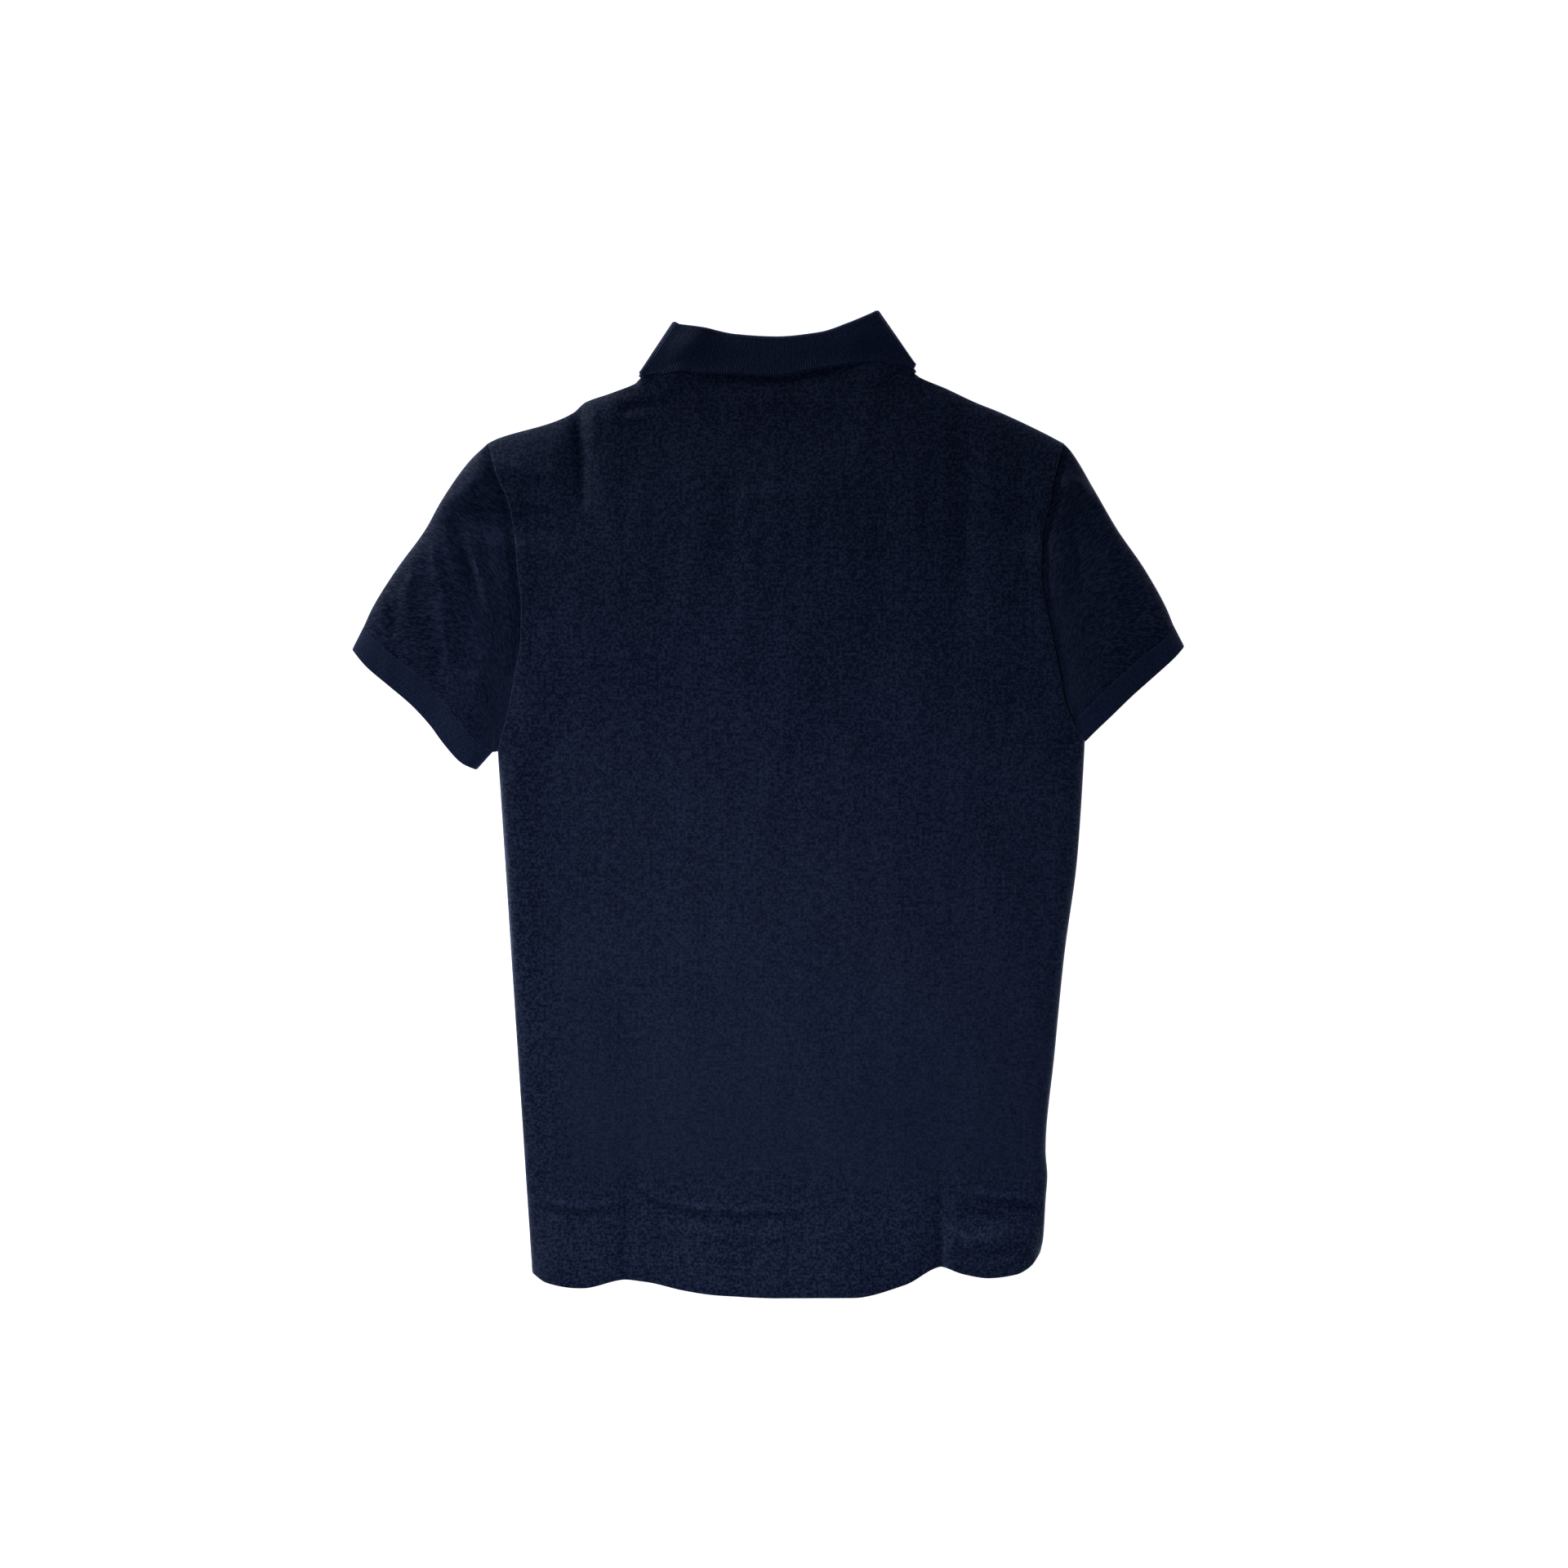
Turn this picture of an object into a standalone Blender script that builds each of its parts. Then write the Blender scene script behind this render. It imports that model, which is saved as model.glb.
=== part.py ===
"""A short-sleeved polo shirt, laid flat with its back up and its front on the ground.

x runs across the shirt, from the wearer's left sleeve (-x) to the right sleeve (+x). y runs up
the shirt, from hem to collar. z rises from the surface that the shirt lies on. The origin is
below the middle of the whole outline. Sizes are in millimetres, and MM turns them to metres.

Each cloth piece is one closed wall between an outer and an inner grid of points. The front panel
lies on the ground, apart from where the collar's front leaf and the buttons lift it. The back
panel lies on the front with a little air between, and closes on it along the side seams and the
shoulder seams. Each sleeve is a flattened tube with a rib band at its end, and the collar is one
rib strip, folded along its top, that runs round the flattened neck.
"""
import math
from collections import defaultdict, namedtuple

import bmesh
import bpy
import numpy as np

MM = 0.001

# Thickness of the knits, and the gap that is left at every seam.
PIQUE = 1.2
SLEEVE_RIB = 1.6
COLLAR_RIB = 2.0
SEAM = 0.3

# Side seams: x of the left and the right edge at each height, from hem to underarm.
Edges = namedtuple("Edges", "y left right")
SIDE_SEAMS = (
    Edges(-334.0, -167.9, 190.0),
    Edges(-320.0, -168.8, 193.5),
    Edges(-309.0, -169.5, 195.8),
    Edges(-282.0, -171.3, 197.5),
    Edges(-264.5, -172.5, 198.7),
    Edges(-247.0, -173.6, 197.5),
    Edges(-177.5, -178.2, 203.9),
    Edges(-108.0, -182.8, 210.8),
    Edges(-38.0, -187.4, 220.1),
    Edges(37.0, -192.4, 225.0),
    Edges(43.5, -192.8, 225.3),
)
ARMHOLES = (
    Edges(37.0, -192.4, 227.0),
    Edges(43.5, -190.8, 225.3),
    Edges(57.0, -187.2, 217.4),
    Edges(71.0, -184.0, 211.2),
    Edges(94.0, -179.8, 206.8),
    Edges(118.0, -175.8, 202.0),
    Edges(141.0, -175.5, 197.2),
    Edges(163.0, -177.8, 194.0),
    Edges(188.0, -180.1, 194.6),
    Edges(213.0, -184.3, 200.0),
    Edges(235.0, -193.2, 204.2),
    Edges(256.4, -199.2, 210.0),
)
LEFT_UNDERARM_Y = 37.0
RIGHT_UNDERARM_Y = 43.5

# Outlines along the hem, with its two valleys, and along the shoulders, from -x to +x.
Point = namedtuple("Point", "x y")
LEFT_VALLEY_X = -101.8
RIGHT_VALLEY_X = 123.3
HEM = (
    Point(-167.9, -334.0),
    Point(-157.0, -340.0),
    Point(-131.0, -343.4),
    Point(LEFT_VALLEY_X, -338.2),
    Point(-87.0, -339.2),
    Point(-61.0, -345.0),
    Point(-34.0, -348.6),
    Point(8.0, -350.3),
    Point(60.0, -350.3),
    Point(97.0, -341.6),
    Point(RIGHT_VALLEY_X, -329.4),
    Point(139.0, -334.0),
    Point(156.0, -336.5),
    Point(175.5, -334.2),
    Point(187.0, -328.3),
    Point(193.5, -320.0),
)
LEFT_SHOULDER = (
    Point(-199.2, 256.4),
    Point(-191.7, 260.0),
    Point(-153.0, 271.4),
    Point(-138.0, 278.4),
    Point(-130.2, 285.4),
    Point(-110.5, 292.3),
    Point(-94.2, 298.6),
    Point(-92.2, 300.2),
    Point(-90.0, 303.2),
)
RIGHT_SHOULDER = (
    Point(103.4, 306.2),
    Point(105.4, 304.2),
    Point(127.9, 294.6),
    Point(147.6, 285.4),
    Point(165.0, 278.4),
    Point(194.6, 264.5),
    Point(210.0, 256.4),
)
FRONT_HEM_RISE = 2.5

# The placket fills a slot in the front panel, from the neckline down.
SLOT_LEFT = -17.7
SLOT_RIGHT = 28.1
SLOT_BOTTOM = 50.5
CENTRE_FRONT = (SLOT_LEFT + SLOT_RIGHT) / 2

# Three four-hole buttons on the placket's outer face.
BUTTON_RADIUS = 5.75
BUTTON_THICKNESS = 2.2
BUTTON_EDGE = 0.5
BUTTON_WELL_RADIUS = 3.7
BUTTON_WELL_DEPTH = 0.4
BUTTON_SIDES = 24
BUTTONS = {"button_top": 206.5, "button_mid": 150.0, "button_low": 93.5}

# Collar: where it is sewn on, folded over and ends, for the front and the back half of the neck
# and for the turn at each side of it.
CollarRow = namedtuple("CollarRow", "seam_x seam_y fold_x fold_y edge_x edge_y")
COLLAR_BACK = (
    CollarRow(-90.0, 303.2, -64.5, 338.7, -87.6, 303.4),
    CollarRow(-60.0, 308.0, -46.0, 335.9, -62.0, 305.9),
    CollarRow(-30.0, 309.0, -23.5, 331.3, -30.0, 304.4),
    CollarRow(5.0, 310.0, 5.5, 329.6, 4.0, 303.4),
    CollarRow(45.0, 313.5, 36.0, 332.6, 42.0, 309.6),
    CollarRow(75.0, 315.0, 58.0, 339.4, 74.5, 313.0),
    CollarRow(103.4, 306.2, 75.2, 346.8, 101.0, 309.6),
)
COLLAR_FRONT_LEFT = (
    CollarRow(-90.0, 303.2, -64.0, 338.6, -88.2, 302.3),
    CollarRow(-72.0, 272.0, -53.5, 308.0, -83.5, 281.0),
    CollarRow(-52.5, 243.0, -43.0, 285.0, -74.0, 250.0),
    CollarRow(-34.5, 227.0, -31.0, 266.5, -63.0, 227.0),
    CollarRow(-17.7, 222.5, -16.0, 252.0, -54.0, 210.0),
    CollarRow(5.2, 221.5, 2.2, 242.0, -45.5, 199.5),
)
COLLAR_FRONT_RIGHT = (
    CollarRow(5.2, 221.5, 8.2, 242.0, 55.9, 199.5),
    CollarRow(28.1, 222.5, 26.4, 252.0, 64.4, 210.0),
    CollarRow(45.0, 227.5, 41.5, 267.0, 73.4, 227.0),
    CollarRow(63.5, 246.0, 54.0, 287.0, 85.0, 251.0),
    CollarRow(84.0, 277.5, 66.0, 314.0, 95.5, 283.0),
    CollarRow(103.4, 306.2, 75.2, 346.2, 101.8, 307.6),
)
LEFT_NECK_X = COLLAR_BACK[0].seam_x
RIGHT_NECK_X = COLLAR_BACK[-1].seam_x
BACK_NECK_Y = COLLAR_BACK[len(COLLAR_BACK) // 2].seam_y
COLLAR_END_GAP = 2.3
COLLAR_END_STEP = 2.0
TURN_HEIGHT = 5.0
STAND_RADIUS = 1.5
LEAF_RADIUS = 4.0
BACK_SAG = 3.0
END_LIFT = 2.2
END_LIFT_WIDTH = 27.0
TURN_STEPS = (30, 60, 90, 120, 150)
ROLL_STEPS = (30, 60, 90, 120, 150)
STAND_SHARES = (0.0, 0.5, 1.0)
LEAF_SHARES = (0.0, 0.34, 0.68, 1.0)

# Sleeves: the folded top edge, the seam to the rib band and the band's open edge.
Sleeve = namedtuple("Sleeve", "outward underarm_y fold cuff_seam cuff_edge")
SLEEVES = {
    "left": Sleeve(
        outward=-1,
        underarm_y=37.0,
        fold=(
            Point(-199.2, 256.4),
            Point(-212.6, 243.6),
            Point(-232.3, 215.8),
            Point(-243.9, 194.9),
            Point(-264.2, 167.0),
            Point(-281.6, 139.2),
            Point(-288.0, 125.3),
        ),
        cuff_seam=(
            Point(-288.0, 125.3),
            Point(-267.1, 105.6),
            Point(-248.5, 91.6),
            Point(-228.2, 69.0),
            Point(-217.8, 55.1),
            Point(-204.5, 41.2),
            Point(-196.0, 36.5),
        ),
        cuff_edge=(
            Point(-296.0, 109.5),
            Point(-285.7, 97.4),
            Point(-269.4, 83.5),
            Point(-253.2, 69.6),
            Point(-240.4, 55.7),
            Point(-230.0, 41.8),
            Point(-217.0, 28.2),
            Point(-207.4, 23.8),
        ),
    ),
    "right": Sleeve(
        outward=1,
        underarm_y=60.0,
        fold=(
            Point(210.0, 256.4),
            Point(215.5, 250.6),
            Point(232.3, 222.7),
            Point(248.5, 194.9),
            Point(267.7, 167.0),
            Point(283.3, 139.2),
            Point(288.4, 126.7),
        ),
        cuff_seam=(
            Point(288.4, 126.7),
            Point(282.2, 117.7),
            Point(267.1, 105.6),
            Point(247.4, 88.2),
            Point(232.9, 74.2),
            Point(217.6, 57.9),
        ),
        cuff_edge=(
            Point(296.1, 111.7),
            Point(289.7, 104.4),
            Point(274.6, 90.5),
            Point(259.0, 76.6),
            Point(244.5, 62.6),
            Point(230.0, 48.7),
            Point(226.2, 43.8),
        ),
    ),
}

# How wide the rounded edge of the back panel is at each side, from hem to underarm.
SIDE_ROLLS = (
    Edges(-350.0, 24.0, 14.0),
    Edges(-240.0, 22.0, 12.0),
    Edges(-100.0, 15.0, 11.0),
    Edges(40.0, 9.0, 9.0),
)
SEAM_ROLL = 10.0
SHOULDER_ROLL = 11.0
FLOOR_ROLL = 2.0
NECK_BLEND = 25.0
NECK_MARGIN = 1.0

# Air between the back panel and what lies under it.
Loft = namedtuple("Loft", "y air")
LOFT = (
    Loft(-350.0, 3.4),
    Loft(-240.0, 4.0),
    Loft(-100.0, 3.8),
    Loft(50.0, 3.8),
    Loft(150.0, 3.8),
    Loft(240.0, 3.6),
    Loft(320.0, 2.0),
)
LEAST_AIR = 0.3

# The hem stands off the ground in three puffs.
Puff = namedtuple("Puff", "x half_width height reach")
HEM_PUFFS = (
    Puff(-140.0, 38.3, 5.2, 84.0),
    Puff(10.0, 113.2, 5.8, 84.0),
    Puff(158.0, 34.8, 6.0, 66.0),
)
PUFF_FULLNESS = 0.7

# Soft folds: a ridge where height is positive, a trough where it is negative.
Fold = namedtuple("Fold", "x0 y0 x1 y1 half_width height")
FOLDS = (
    Fold(-153.0, -70.0, -151.0, -200.0, 17.0, 1.3),
    Fold(-151.0, -200.0, -148.0, -345.0, 17.0, 1.3),
    Fold(LEFT_VALLEY_X, -200.0, LEFT_VALLEY_X, -345.0, 26.0, -2.4),
    Fold(RIGHT_VALLEY_X, -262.0, RIGHT_VALLEY_X, -340.0, 13.0, -3.0),
    Fold(-134.0, 286.0, -131.0, 200.0, 15.0, -1.7),
    Fold(136.0, 290.0, 134.0, 142.0, 16.0, -1.2),
    Fold(-176.0, 50.0, -157.0, -8.0, 14.0, -1.0),
    Fold(-219.0, 213.0, -158.0, 197.0, 15.0, -2.0),
    Fold(-212.0, 234.0, -178.0, 232.0, 16.0, 1.2),
    Fold(-219.0, 190.0, -204.0, 146.0, 12.0, -1.6),
    Fold(-239.0, 181.0, -230.0, 130.0, 11.0, 1.5),
    Fold(-234.0, 136.0, -224.0, 96.0, 12.0, 1.5),
    Fold(206.0, 229.0, 232.0, 221.0, 11.0, 1.8),
    Fold(190.0, 205.0, 222.0, 196.0, 20.0, -1.4),
    Fold(-188.0, 150.0, -172.0, 60.0, 16.0, 0.9),
    Fold(-190.0, 120.0, -203.0, 34.0, 20.0, -2.4),
    Fold(-60.0, 268.0, 60.0, 268.0, 26.0, -0.8),
)
FOLD_END_SHARE = 0.4

# Lifts of the front panel: over the collar's leaf and over the buttons.
LEAF_LIFT = TURN_HEIGHT - STAND_RADIUS - PIQUE / 2
PLACKET_LIFT = BUTTON_THICKNESS + SEAM
LEAF_MARGIN = 12.0
LEAF_RAMP = 25.0
PLACKET_MARGIN = 4.0
PLACKET_RAMP = 16.0
PLACKET_PLIES_RAMP = 10.0
PLACKET_BRIDGE = 2.6

# Grid lines: shares of the way from a side edge to the neck line, and of the way up.
EDGE_SHARES = (0.0, 0.011, 0.032, 0.073, 0.137, 0.23, 0.36, 0.49, 0.62, 0.745, 0.87)
NECK_CELLS = 5
SLOT_CELLS = 4
BACK_LOW_ROWS = (
    0.0, 0.008, 0.035, 0.07, 0.11, 0.155, 0.2, 0.26, 0.34, 0.44, 0.56, 0.68, 0.8, 0.91, 1.0,
)
FRONT_LOW_ROWS = (0.0, 0.2, 0.4, 0.6, 0.8, 1.0)
HIGH_ROWS = (
    0.0, 0.012, 0.04, 0.1, 0.18, 0.27, 0.36, 0.45, 0.53, 0.61, 0.69, 0.77, 0.84, 0.895, 0.94,
    0.97, 0.988, 0.996, 1.0,
)
SLEEVE_ROWS = (0.0, 0.08, 0.2, 0.32, 0.44, 0.56, 0.68, 0.8, 0.92, 1.0)
CUFF_ROWS = (0.017, 0.2, 0.8, 1.0)

SHARP_ANGLE = math.radians(40)
SLOPE_STEP = 1.0
TINY = 1e-9

Finish = namedtuple("Finish", "name colour roughness metallic")
PIQUE_FINISH = Finish("navy_pique", (0.0100, 0.0150, 0.0360), 0.92, 0.0)
RIB_FINISH = Finish("navy_rib", (0.0090, 0.0135, 0.0330), 0.94, 0.0)
BUTTON_FINISH = Finish("navy_button", (0.0120, 0.0160, 0.0340), 0.35, 0.0)


# ---------------------------------------------------------------- curves and blends


def smooth(at, xs, ys):
    """Read a smooth curve through (xs, ys) that never overshoots them; xs rise."""
    xs, ys = np.asarray(xs, float), np.asarray(ys, float)
    step = np.diff(xs)
    rise = np.diff(ys) / step
    same_way = rise[1:] * rise[:-1] > 0
    total = np.where(same_way, rise[1:] + rise[:-1], 1.0)
    bend = np.where(same_way, 2 * rise[1:] * rise[:-1] / total, 0.0)
    slope = np.concatenate([rise[:1], bend, rise[-1:]])
    at = np.clip(at, xs[0], xs[-1])
    i = np.clip(np.searchsorted(xs, at, side="right") - 1, 0, len(step) - 1)
    t = (at - xs[i]) / step[i]
    ends = (1 + 2 * t) * (1 - t) ** 2 * ys[i] + t**2 * (3 - 2 * t) * ys[i + 1]
    turns = t * (1 - t) ** 2 * slope[i] - t**2 * (1 - t) * slope[i + 1]
    return ends + turns * step[i]


def read(table, column, at, by="y"):
    """Read one named column of a table at a place, by another of its columns."""
    return smooth(at, [getattr(row, by) for row in table], [getattr(row, column) for row in table])


def along(points, share):
    """Point at a share of the way along a smooth curve through some points."""
    points = np.array(points, float)
    steps = np.linalg.norm(np.diff(points, axis=0), axis=1)
    reached = np.concatenate([[0.0], np.cumsum(steps)])
    at = share * reached[-1]
    return np.array([smooth(at, reached, points[:, axis]) for axis in (0, 1)])


def blend(start, end, share):
    """Value at a share of the way from start to end."""
    return start + (end - start) * share


def bump(share):
    """Smooth hump: 1 at a share of 0, 0 from a share of 1."""
    return (1 + math.cos(min(share, 1.0) * math.pi)) / 2


def ease(share):
    """Smooth step from 0 to 1 as share goes from 0 to 1."""
    share = min(max(share, 0.0), 1.0)
    return share * share * (3 - 2 * share)


def round_rise(share):
    """Quarter-circle rise from 0 to 1 as share goes from 0 to 1."""
    share = min(max(share, 0.0), 1.0)
    return math.sqrt(1 - (1 - share) ** 2)


def upright_share(distance, width, height):
    """Upright part of the normal on a rounded edge that rises to height over width."""
    share = min(max(distance / width, 0.0), 1.0)
    level = (1 - share) / width
    upright = round_rise(share) / max(height, PIQUE)
    return upright / max(math.hypot(level, upright), TINY)


def distance_to_segment(x, y, x0, y0, x1, y1):
    """Distance from (x, y) to a segment, and the share of the way along it."""
    across, up = x1 - x0, y1 - y0
    share = ((x - x0) * across + (y - y0) * up) / (across * across + up * up)
    share = min(max(share, 0.0), 1.0)
    return math.hypot(x - x0 - share * across, y - y0 - share * up), share


def distance_outside(x, y, outline):
    """Distance from (x, y) to a closed outline, 0 inside it."""
    inside = False
    nearest = math.inf
    for (x0, y0), (x1, y1) in zip(outline, outline[1:] + outline[:1]):
        nearest = min(nearest, distance_to_segment(x, y, x0, y0, x1, y1)[0])
        if (y0 > y) != (y1 > y) and x < x0 + (y - y0) / (y1 - y0) * (x1 - x0):
            inside = not inside
    return 0.0 if inside else nearest


# ---------------------------------------------------------------- heights of the layers


def leaf_outline(rows):
    """Closed outline of one front leaf of the collar, edge and fold."""
    edge = [(row.edge_x, row.edge_y) for row in rows]
    fold = [(row.fold_x, row.fold_y) for row in rows]
    return edge + fold[::-1]


LEAVES = (leaf_outline(COLLAR_FRONT_LEFT), leaf_outline(COLLAR_FRONT_RIGHT))
PLACKET_OUTLINE = [
    (SLOT_LEFT, SLOT_BOTTOM),
    (SLOT_RIGHT, SLOT_BOTTOM),
    (SLOT_RIGHT, COLLAR_FRONT_LEFT[-1].seam_y),
    (SLOT_LEFT, COLLAR_FRONT_LEFT[-1].seam_y),
]


def front_lift(x, y):
    """Height of the front's outer face above the ground."""
    to_leaf = min(distance_outside(x, y, leaf) for leaf in LEAVES)
    to_placket = distance_outside(x, y, PLACKET_OUTLINE)
    over_leaf = LEAF_LIFT * (1 - ease((to_leaf - LEAF_MARGIN) / LEAF_RAMP))
    over_buttons = PLACKET_LIFT * (1 - ease((to_placket - PLACKET_MARGIN) / PLACKET_RAMP))
    return max(over_leaf, over_buttons)


def front_stack(x, y):
    """Height of the top of what the back panel lies on."""
    to_placket = distance_outside(x, y, PLACKET_OUTLINE)
    second_ply = (PIQUE + SEAM) * (1 - ease((to_placket - PLACKET_MARGIN) / PLACKET_PLIES_RAMP))
    return front_lift(x, y) + PIQUE + second_ply


def hem_y(x):
    """Height of the back panel's hem at x."""
    return read(HEM, "y", x, by="x")


def puffs(x, y):
    """Rise of the cloth in the puffs along the hem."""
    total = 0.0
    for puff in HEM_PUFFS:
        across = min(abs(x - puff.x) / puff.half_width, 1.0)
        up = ease((y - hem_y(x)) / puff.reach)
        total += puff.height * math.cos(across * math.pi / 2) ** PUFF_FULLNESS * (1 - up)
    return total


def folds(x, y):
    """Rise of the cloth in the soft folds."""
    total = 0.0
    for fold in FOLDS:
        distance, share = distance_to_segment(x, y, fold.x0, fold.y0, fold.x1, fold.y1)
        taper = blend(FOLD_END_SHARE, 1.0, math.sin(share * math.pi))
        total += fold.height * taper * bump(distance / fold.half_width)
    return total


def cloth_top(x, y):
    """Height of the top face of the shirt away from its edges."""
    to_placket = distance_outside(x, y, PLACKET_OUTLINE)
    bridged = PLACKET_BRIDGE * (1 - ease((to_placket - PLACKET_MARGIN) / PLACKET_RAMP))
    air = float(read(LOFT, "air", y)) + puffs(x, y) + folds(x, y) - bridged
    return front_stack(x, y) + SEAM + max(air, LEAST_AIR) + PIQUE


def collar_centre(x):
    """Height of the middle of the back collar's layers, which sags between the neck points."""
    share = (x - LEFT_NECK_X) / (RIGHT_NECK_X - LEFT_NECK_X)
    from_end = min(x - LEFT_NECK_X, RIGHT_NECK_X - x) - END_LIFT_WIDTH
    lift = END_LIFT * bump(abs(from_end) / END_LIFT_WIDTH)
    return TURN_HEIGHT + lift - BACK_SAG * math.sin(min(max(share, 0.0), 1.0) * math.pi) ** 2


# ---------------------------------------------------------------- plan of the body panels


def body_columns():
    """Positions of the grid's columns: 0 left edge, 1 and 4 neck lines, 2 and 3 slot, 5 right."""
    left = list(EDGE_SHARES)
    left_neck = [1 + cell / NECK_CELLS for cell in range(NECK_CELLS)]
    slot = [2 + cell / SLOT_CELLS for cell in range(SLOT_CELLS)]
    right_neck = [3 + cell / NECK_CELLS for cell in range(NECK_CELLS)]
    right = [5 - share for share in (1.0, *reversed(EDGE_SHARES))]
    return np.array(left + left_neck + slot + right_neck + right)


COLUMNS = body_columns()


def columns_x(left, right, up=1.0):
    """x of every column between two edges; low down the neck lines lean to the hem's valleys."""
    neck_left = blend(LEFT_VALLEY_X, LEFT_NECK_X, up)
    neck_right = blend(RIGHT_VALLEY_X, RIGHT_NECK_X, up)
    places = (left, neck_left, SLOT_LEFT, SLOT_RIGHT, neck_right, right)
    return np.interp(COLUMNS, range(6), places)


def neck_rows(layer):
    """Collar rows whose seam bounds the neckline of one panel, from -x to +x."""
    return COLLAR_BACK if layer == "back" else COLLAR_FRONT_LEFT[:-1] + COLLAR_FRONT_RIGHT


def top_y(x, layer):
    """Height of a panel's top edge at x: shoulder, neckline, shoulder."""
    if x <= LEFT_NECK_X:
        return float(read(LEFT_SHOULDER, "y", x, by="x"))
    if x >= RIGHT_NECK_X:
        return float(read(RIGHT_SHOULDER, "y", x, by="x"))
    return float(read(neck_rows(layer), "seam_y", x, by="seam_x"))


def body_plan(layer, low_rows, hem_rise):
    """Grid of x and y for a body panel, with its left, right and top edge for each point."""
    tip_y = LEFT_SHOULDER[0].y
    top_x = columns_x(LEFT_SHOULDER[0].x, RIGHT_SHOULDER[-1].x)
    top = np.array([top_y(x, layer) for x in top_x])
    hem_x = columns_x(HEM[0].x, HEM[-1].x, up=0.0)
    hem = hem_y(hem_x) + hem_rise
    chest = np.interp(
        COLUMNS, (0, 2, 3, 5), (LEFT_UNDERARM_Y, SLOT_BOTTOM, SLOT_BOTTOM, RIGHT_UNDERARM_Y)
    )
    rows = []
    for share in low_rows:
        left = read(SIDE_SEAMS, "left", blend(hem[0], LEFT_UNDERARM_Y, share))
        right = read(SIDE_SEAMS, "right", blend(hem[-1], RIGHT_UNDERARM_Y, share))
        rows.append((columns_x(left, right, up=share), blend(hem, chest, share), left, right))
    for share in HIGH_ROWS[1:]:
        left = read(ARMHOLES, "left", blend(LEFT_UNDERARM_Y, tip_y, share))
        right = read(ARMHOLES, "right", blend(RIGHT_UNDERARM_Y, tip_y, share))
        rows.append((columns_x(left, right), blend(chest, top, share), left, right))
    return rows, top_x, top


# An edge of the back panel: how far away, how far the cloth has risen there and how open it is.
Edge = namedtuple("Edge", "distance rise opening roll outward")


def armhole_opening(y, underarm_y):
    """How far an armhole edge stands open at height y: 0 at its ends, 1 between them."""
    from_tip = round_rise((LEFT_SHOULDER[0].y - y) / SEAM_ROLL)
    return from_tip * round_rise((y - underarm_y) / SEAM_ROLL)


def side_edge(distance, y, underarm_y, roll, outward):
    """One side edge of the back panel as seen from a place near it."""
    opening = armhole_opening(y, underarm_y) if y > underarm_y else 0.0
    return Edge(distance, blend(round_rise(distance / roll), 1.0, opening), opening, roll, outward)


def top_edge(x, distance):
    """Top edge of the back panel as seen from a place near it: open at the neck, else closed."""
    if LEFT_NECK_X - NECK_MARGIN < x < RIGHT_NECK_X + NECK_MARGIN:
        return Edge(distance, 1.0, 1.0, SHOULDER_ROLL, (0.0, 1.0))
    return Edge(distance, round_rise(distance / SHOULDER_ROLL), 0.0, SHOULDER_ROLL, (0.0, 1.0))


def back_point(x, y, left, right, top):
    """Outer and inner point of the back panel at a place."""
    ground = front_stack(x, y) + SEAM
    beyond_neck = max(LEFT_NECK_X - x, x - RIGHT_NECK_X, 0.0)
    at_neck = (1 - ease(beyond_neck / SEAM_ROLL)) * (1 - ease((top - y) / NECK_BLEND))
    neck_top = collar_centre(x) + STAND_RADIUS + PIQUE / 2
    crown = blend(cloth_top(x, y), max(neck_top, ground + PIQUE), at_neck)
    edges = (
        side_edge(x - left, y, LEFT_UNDERARM_Y, read(SIDE_ROLLS, "left", y), (-1.0, 0.0)),
        side_edge(right - x, y, RIGHT_UNDERARM_Y, read(SIDE_ROLLS, "right", y), (1.0, 0.0)),
        top_edge(x, top - y),
    )
    edge = min(edges, key=lambda found: found.rise)
    upright = upright_share(edge.distance, edge.roll, crown - ground)
    upright = blend(upright, 1.0, edge.opening)
    level = math.sqrt(max(1 - upright * upright, 0.0))
    outer = np.array([x, y, ground + (crown - ground) * edge.rise])
    inner = outer - PIQUE * np.array([level * edge.outward[0], level * edge.outward[1], upright])
    return outer, inner


# ---------------------------------------------------------------- meshes


def wall(outer, inner, kept=None, wraps=False):
    """Closed wall between two grids of points, with a rim along every open edge.

    kept tells which cells of the grid are filled; wraps joins the last column to the first.
    """
    rows, columns = outer.shape[:2]
    mesh = bmesh.new()
    corners = {}

    def corner(grid, row, column):
        key = (id(grid), row, column)
        if key not in corners:
            corners[key] = mesh.verts.new(grid[row, column] * MM)
        return corners[key]

    borders = defaultdict(list)
    for row in range(rows - 1):
        for column in range(columns if wraps else columns - 1):
            if kept is not None and not kept[row][column]:
                continue
            beside = (column + 1) % columns
            ring = [(row, column), (row, beside), (row + 1, beside), (row + 1, column)]
            mesh.faces.new([corner(outer, *place) for place in ring])
            mesh.faces.new([corner(inner, *place) for place in reversed(ring)])
            for start, end in zip(ring, ring[1:] + ring[:1]):
                borders[frozenset((start, end))].append((start, end))
    for sides in borders.values():
        if len(sides) == 1:
            start, end = sides[0]
            rim = (corner(outer, *end), corner(outer, *start), corner(inner, *start))
            mesh.faces.new([*rim, corner(inner, *end)])
    bmesh.ops.recalc_face_normals(mesh, faces=mesh.faces)
    return mesh


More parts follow.
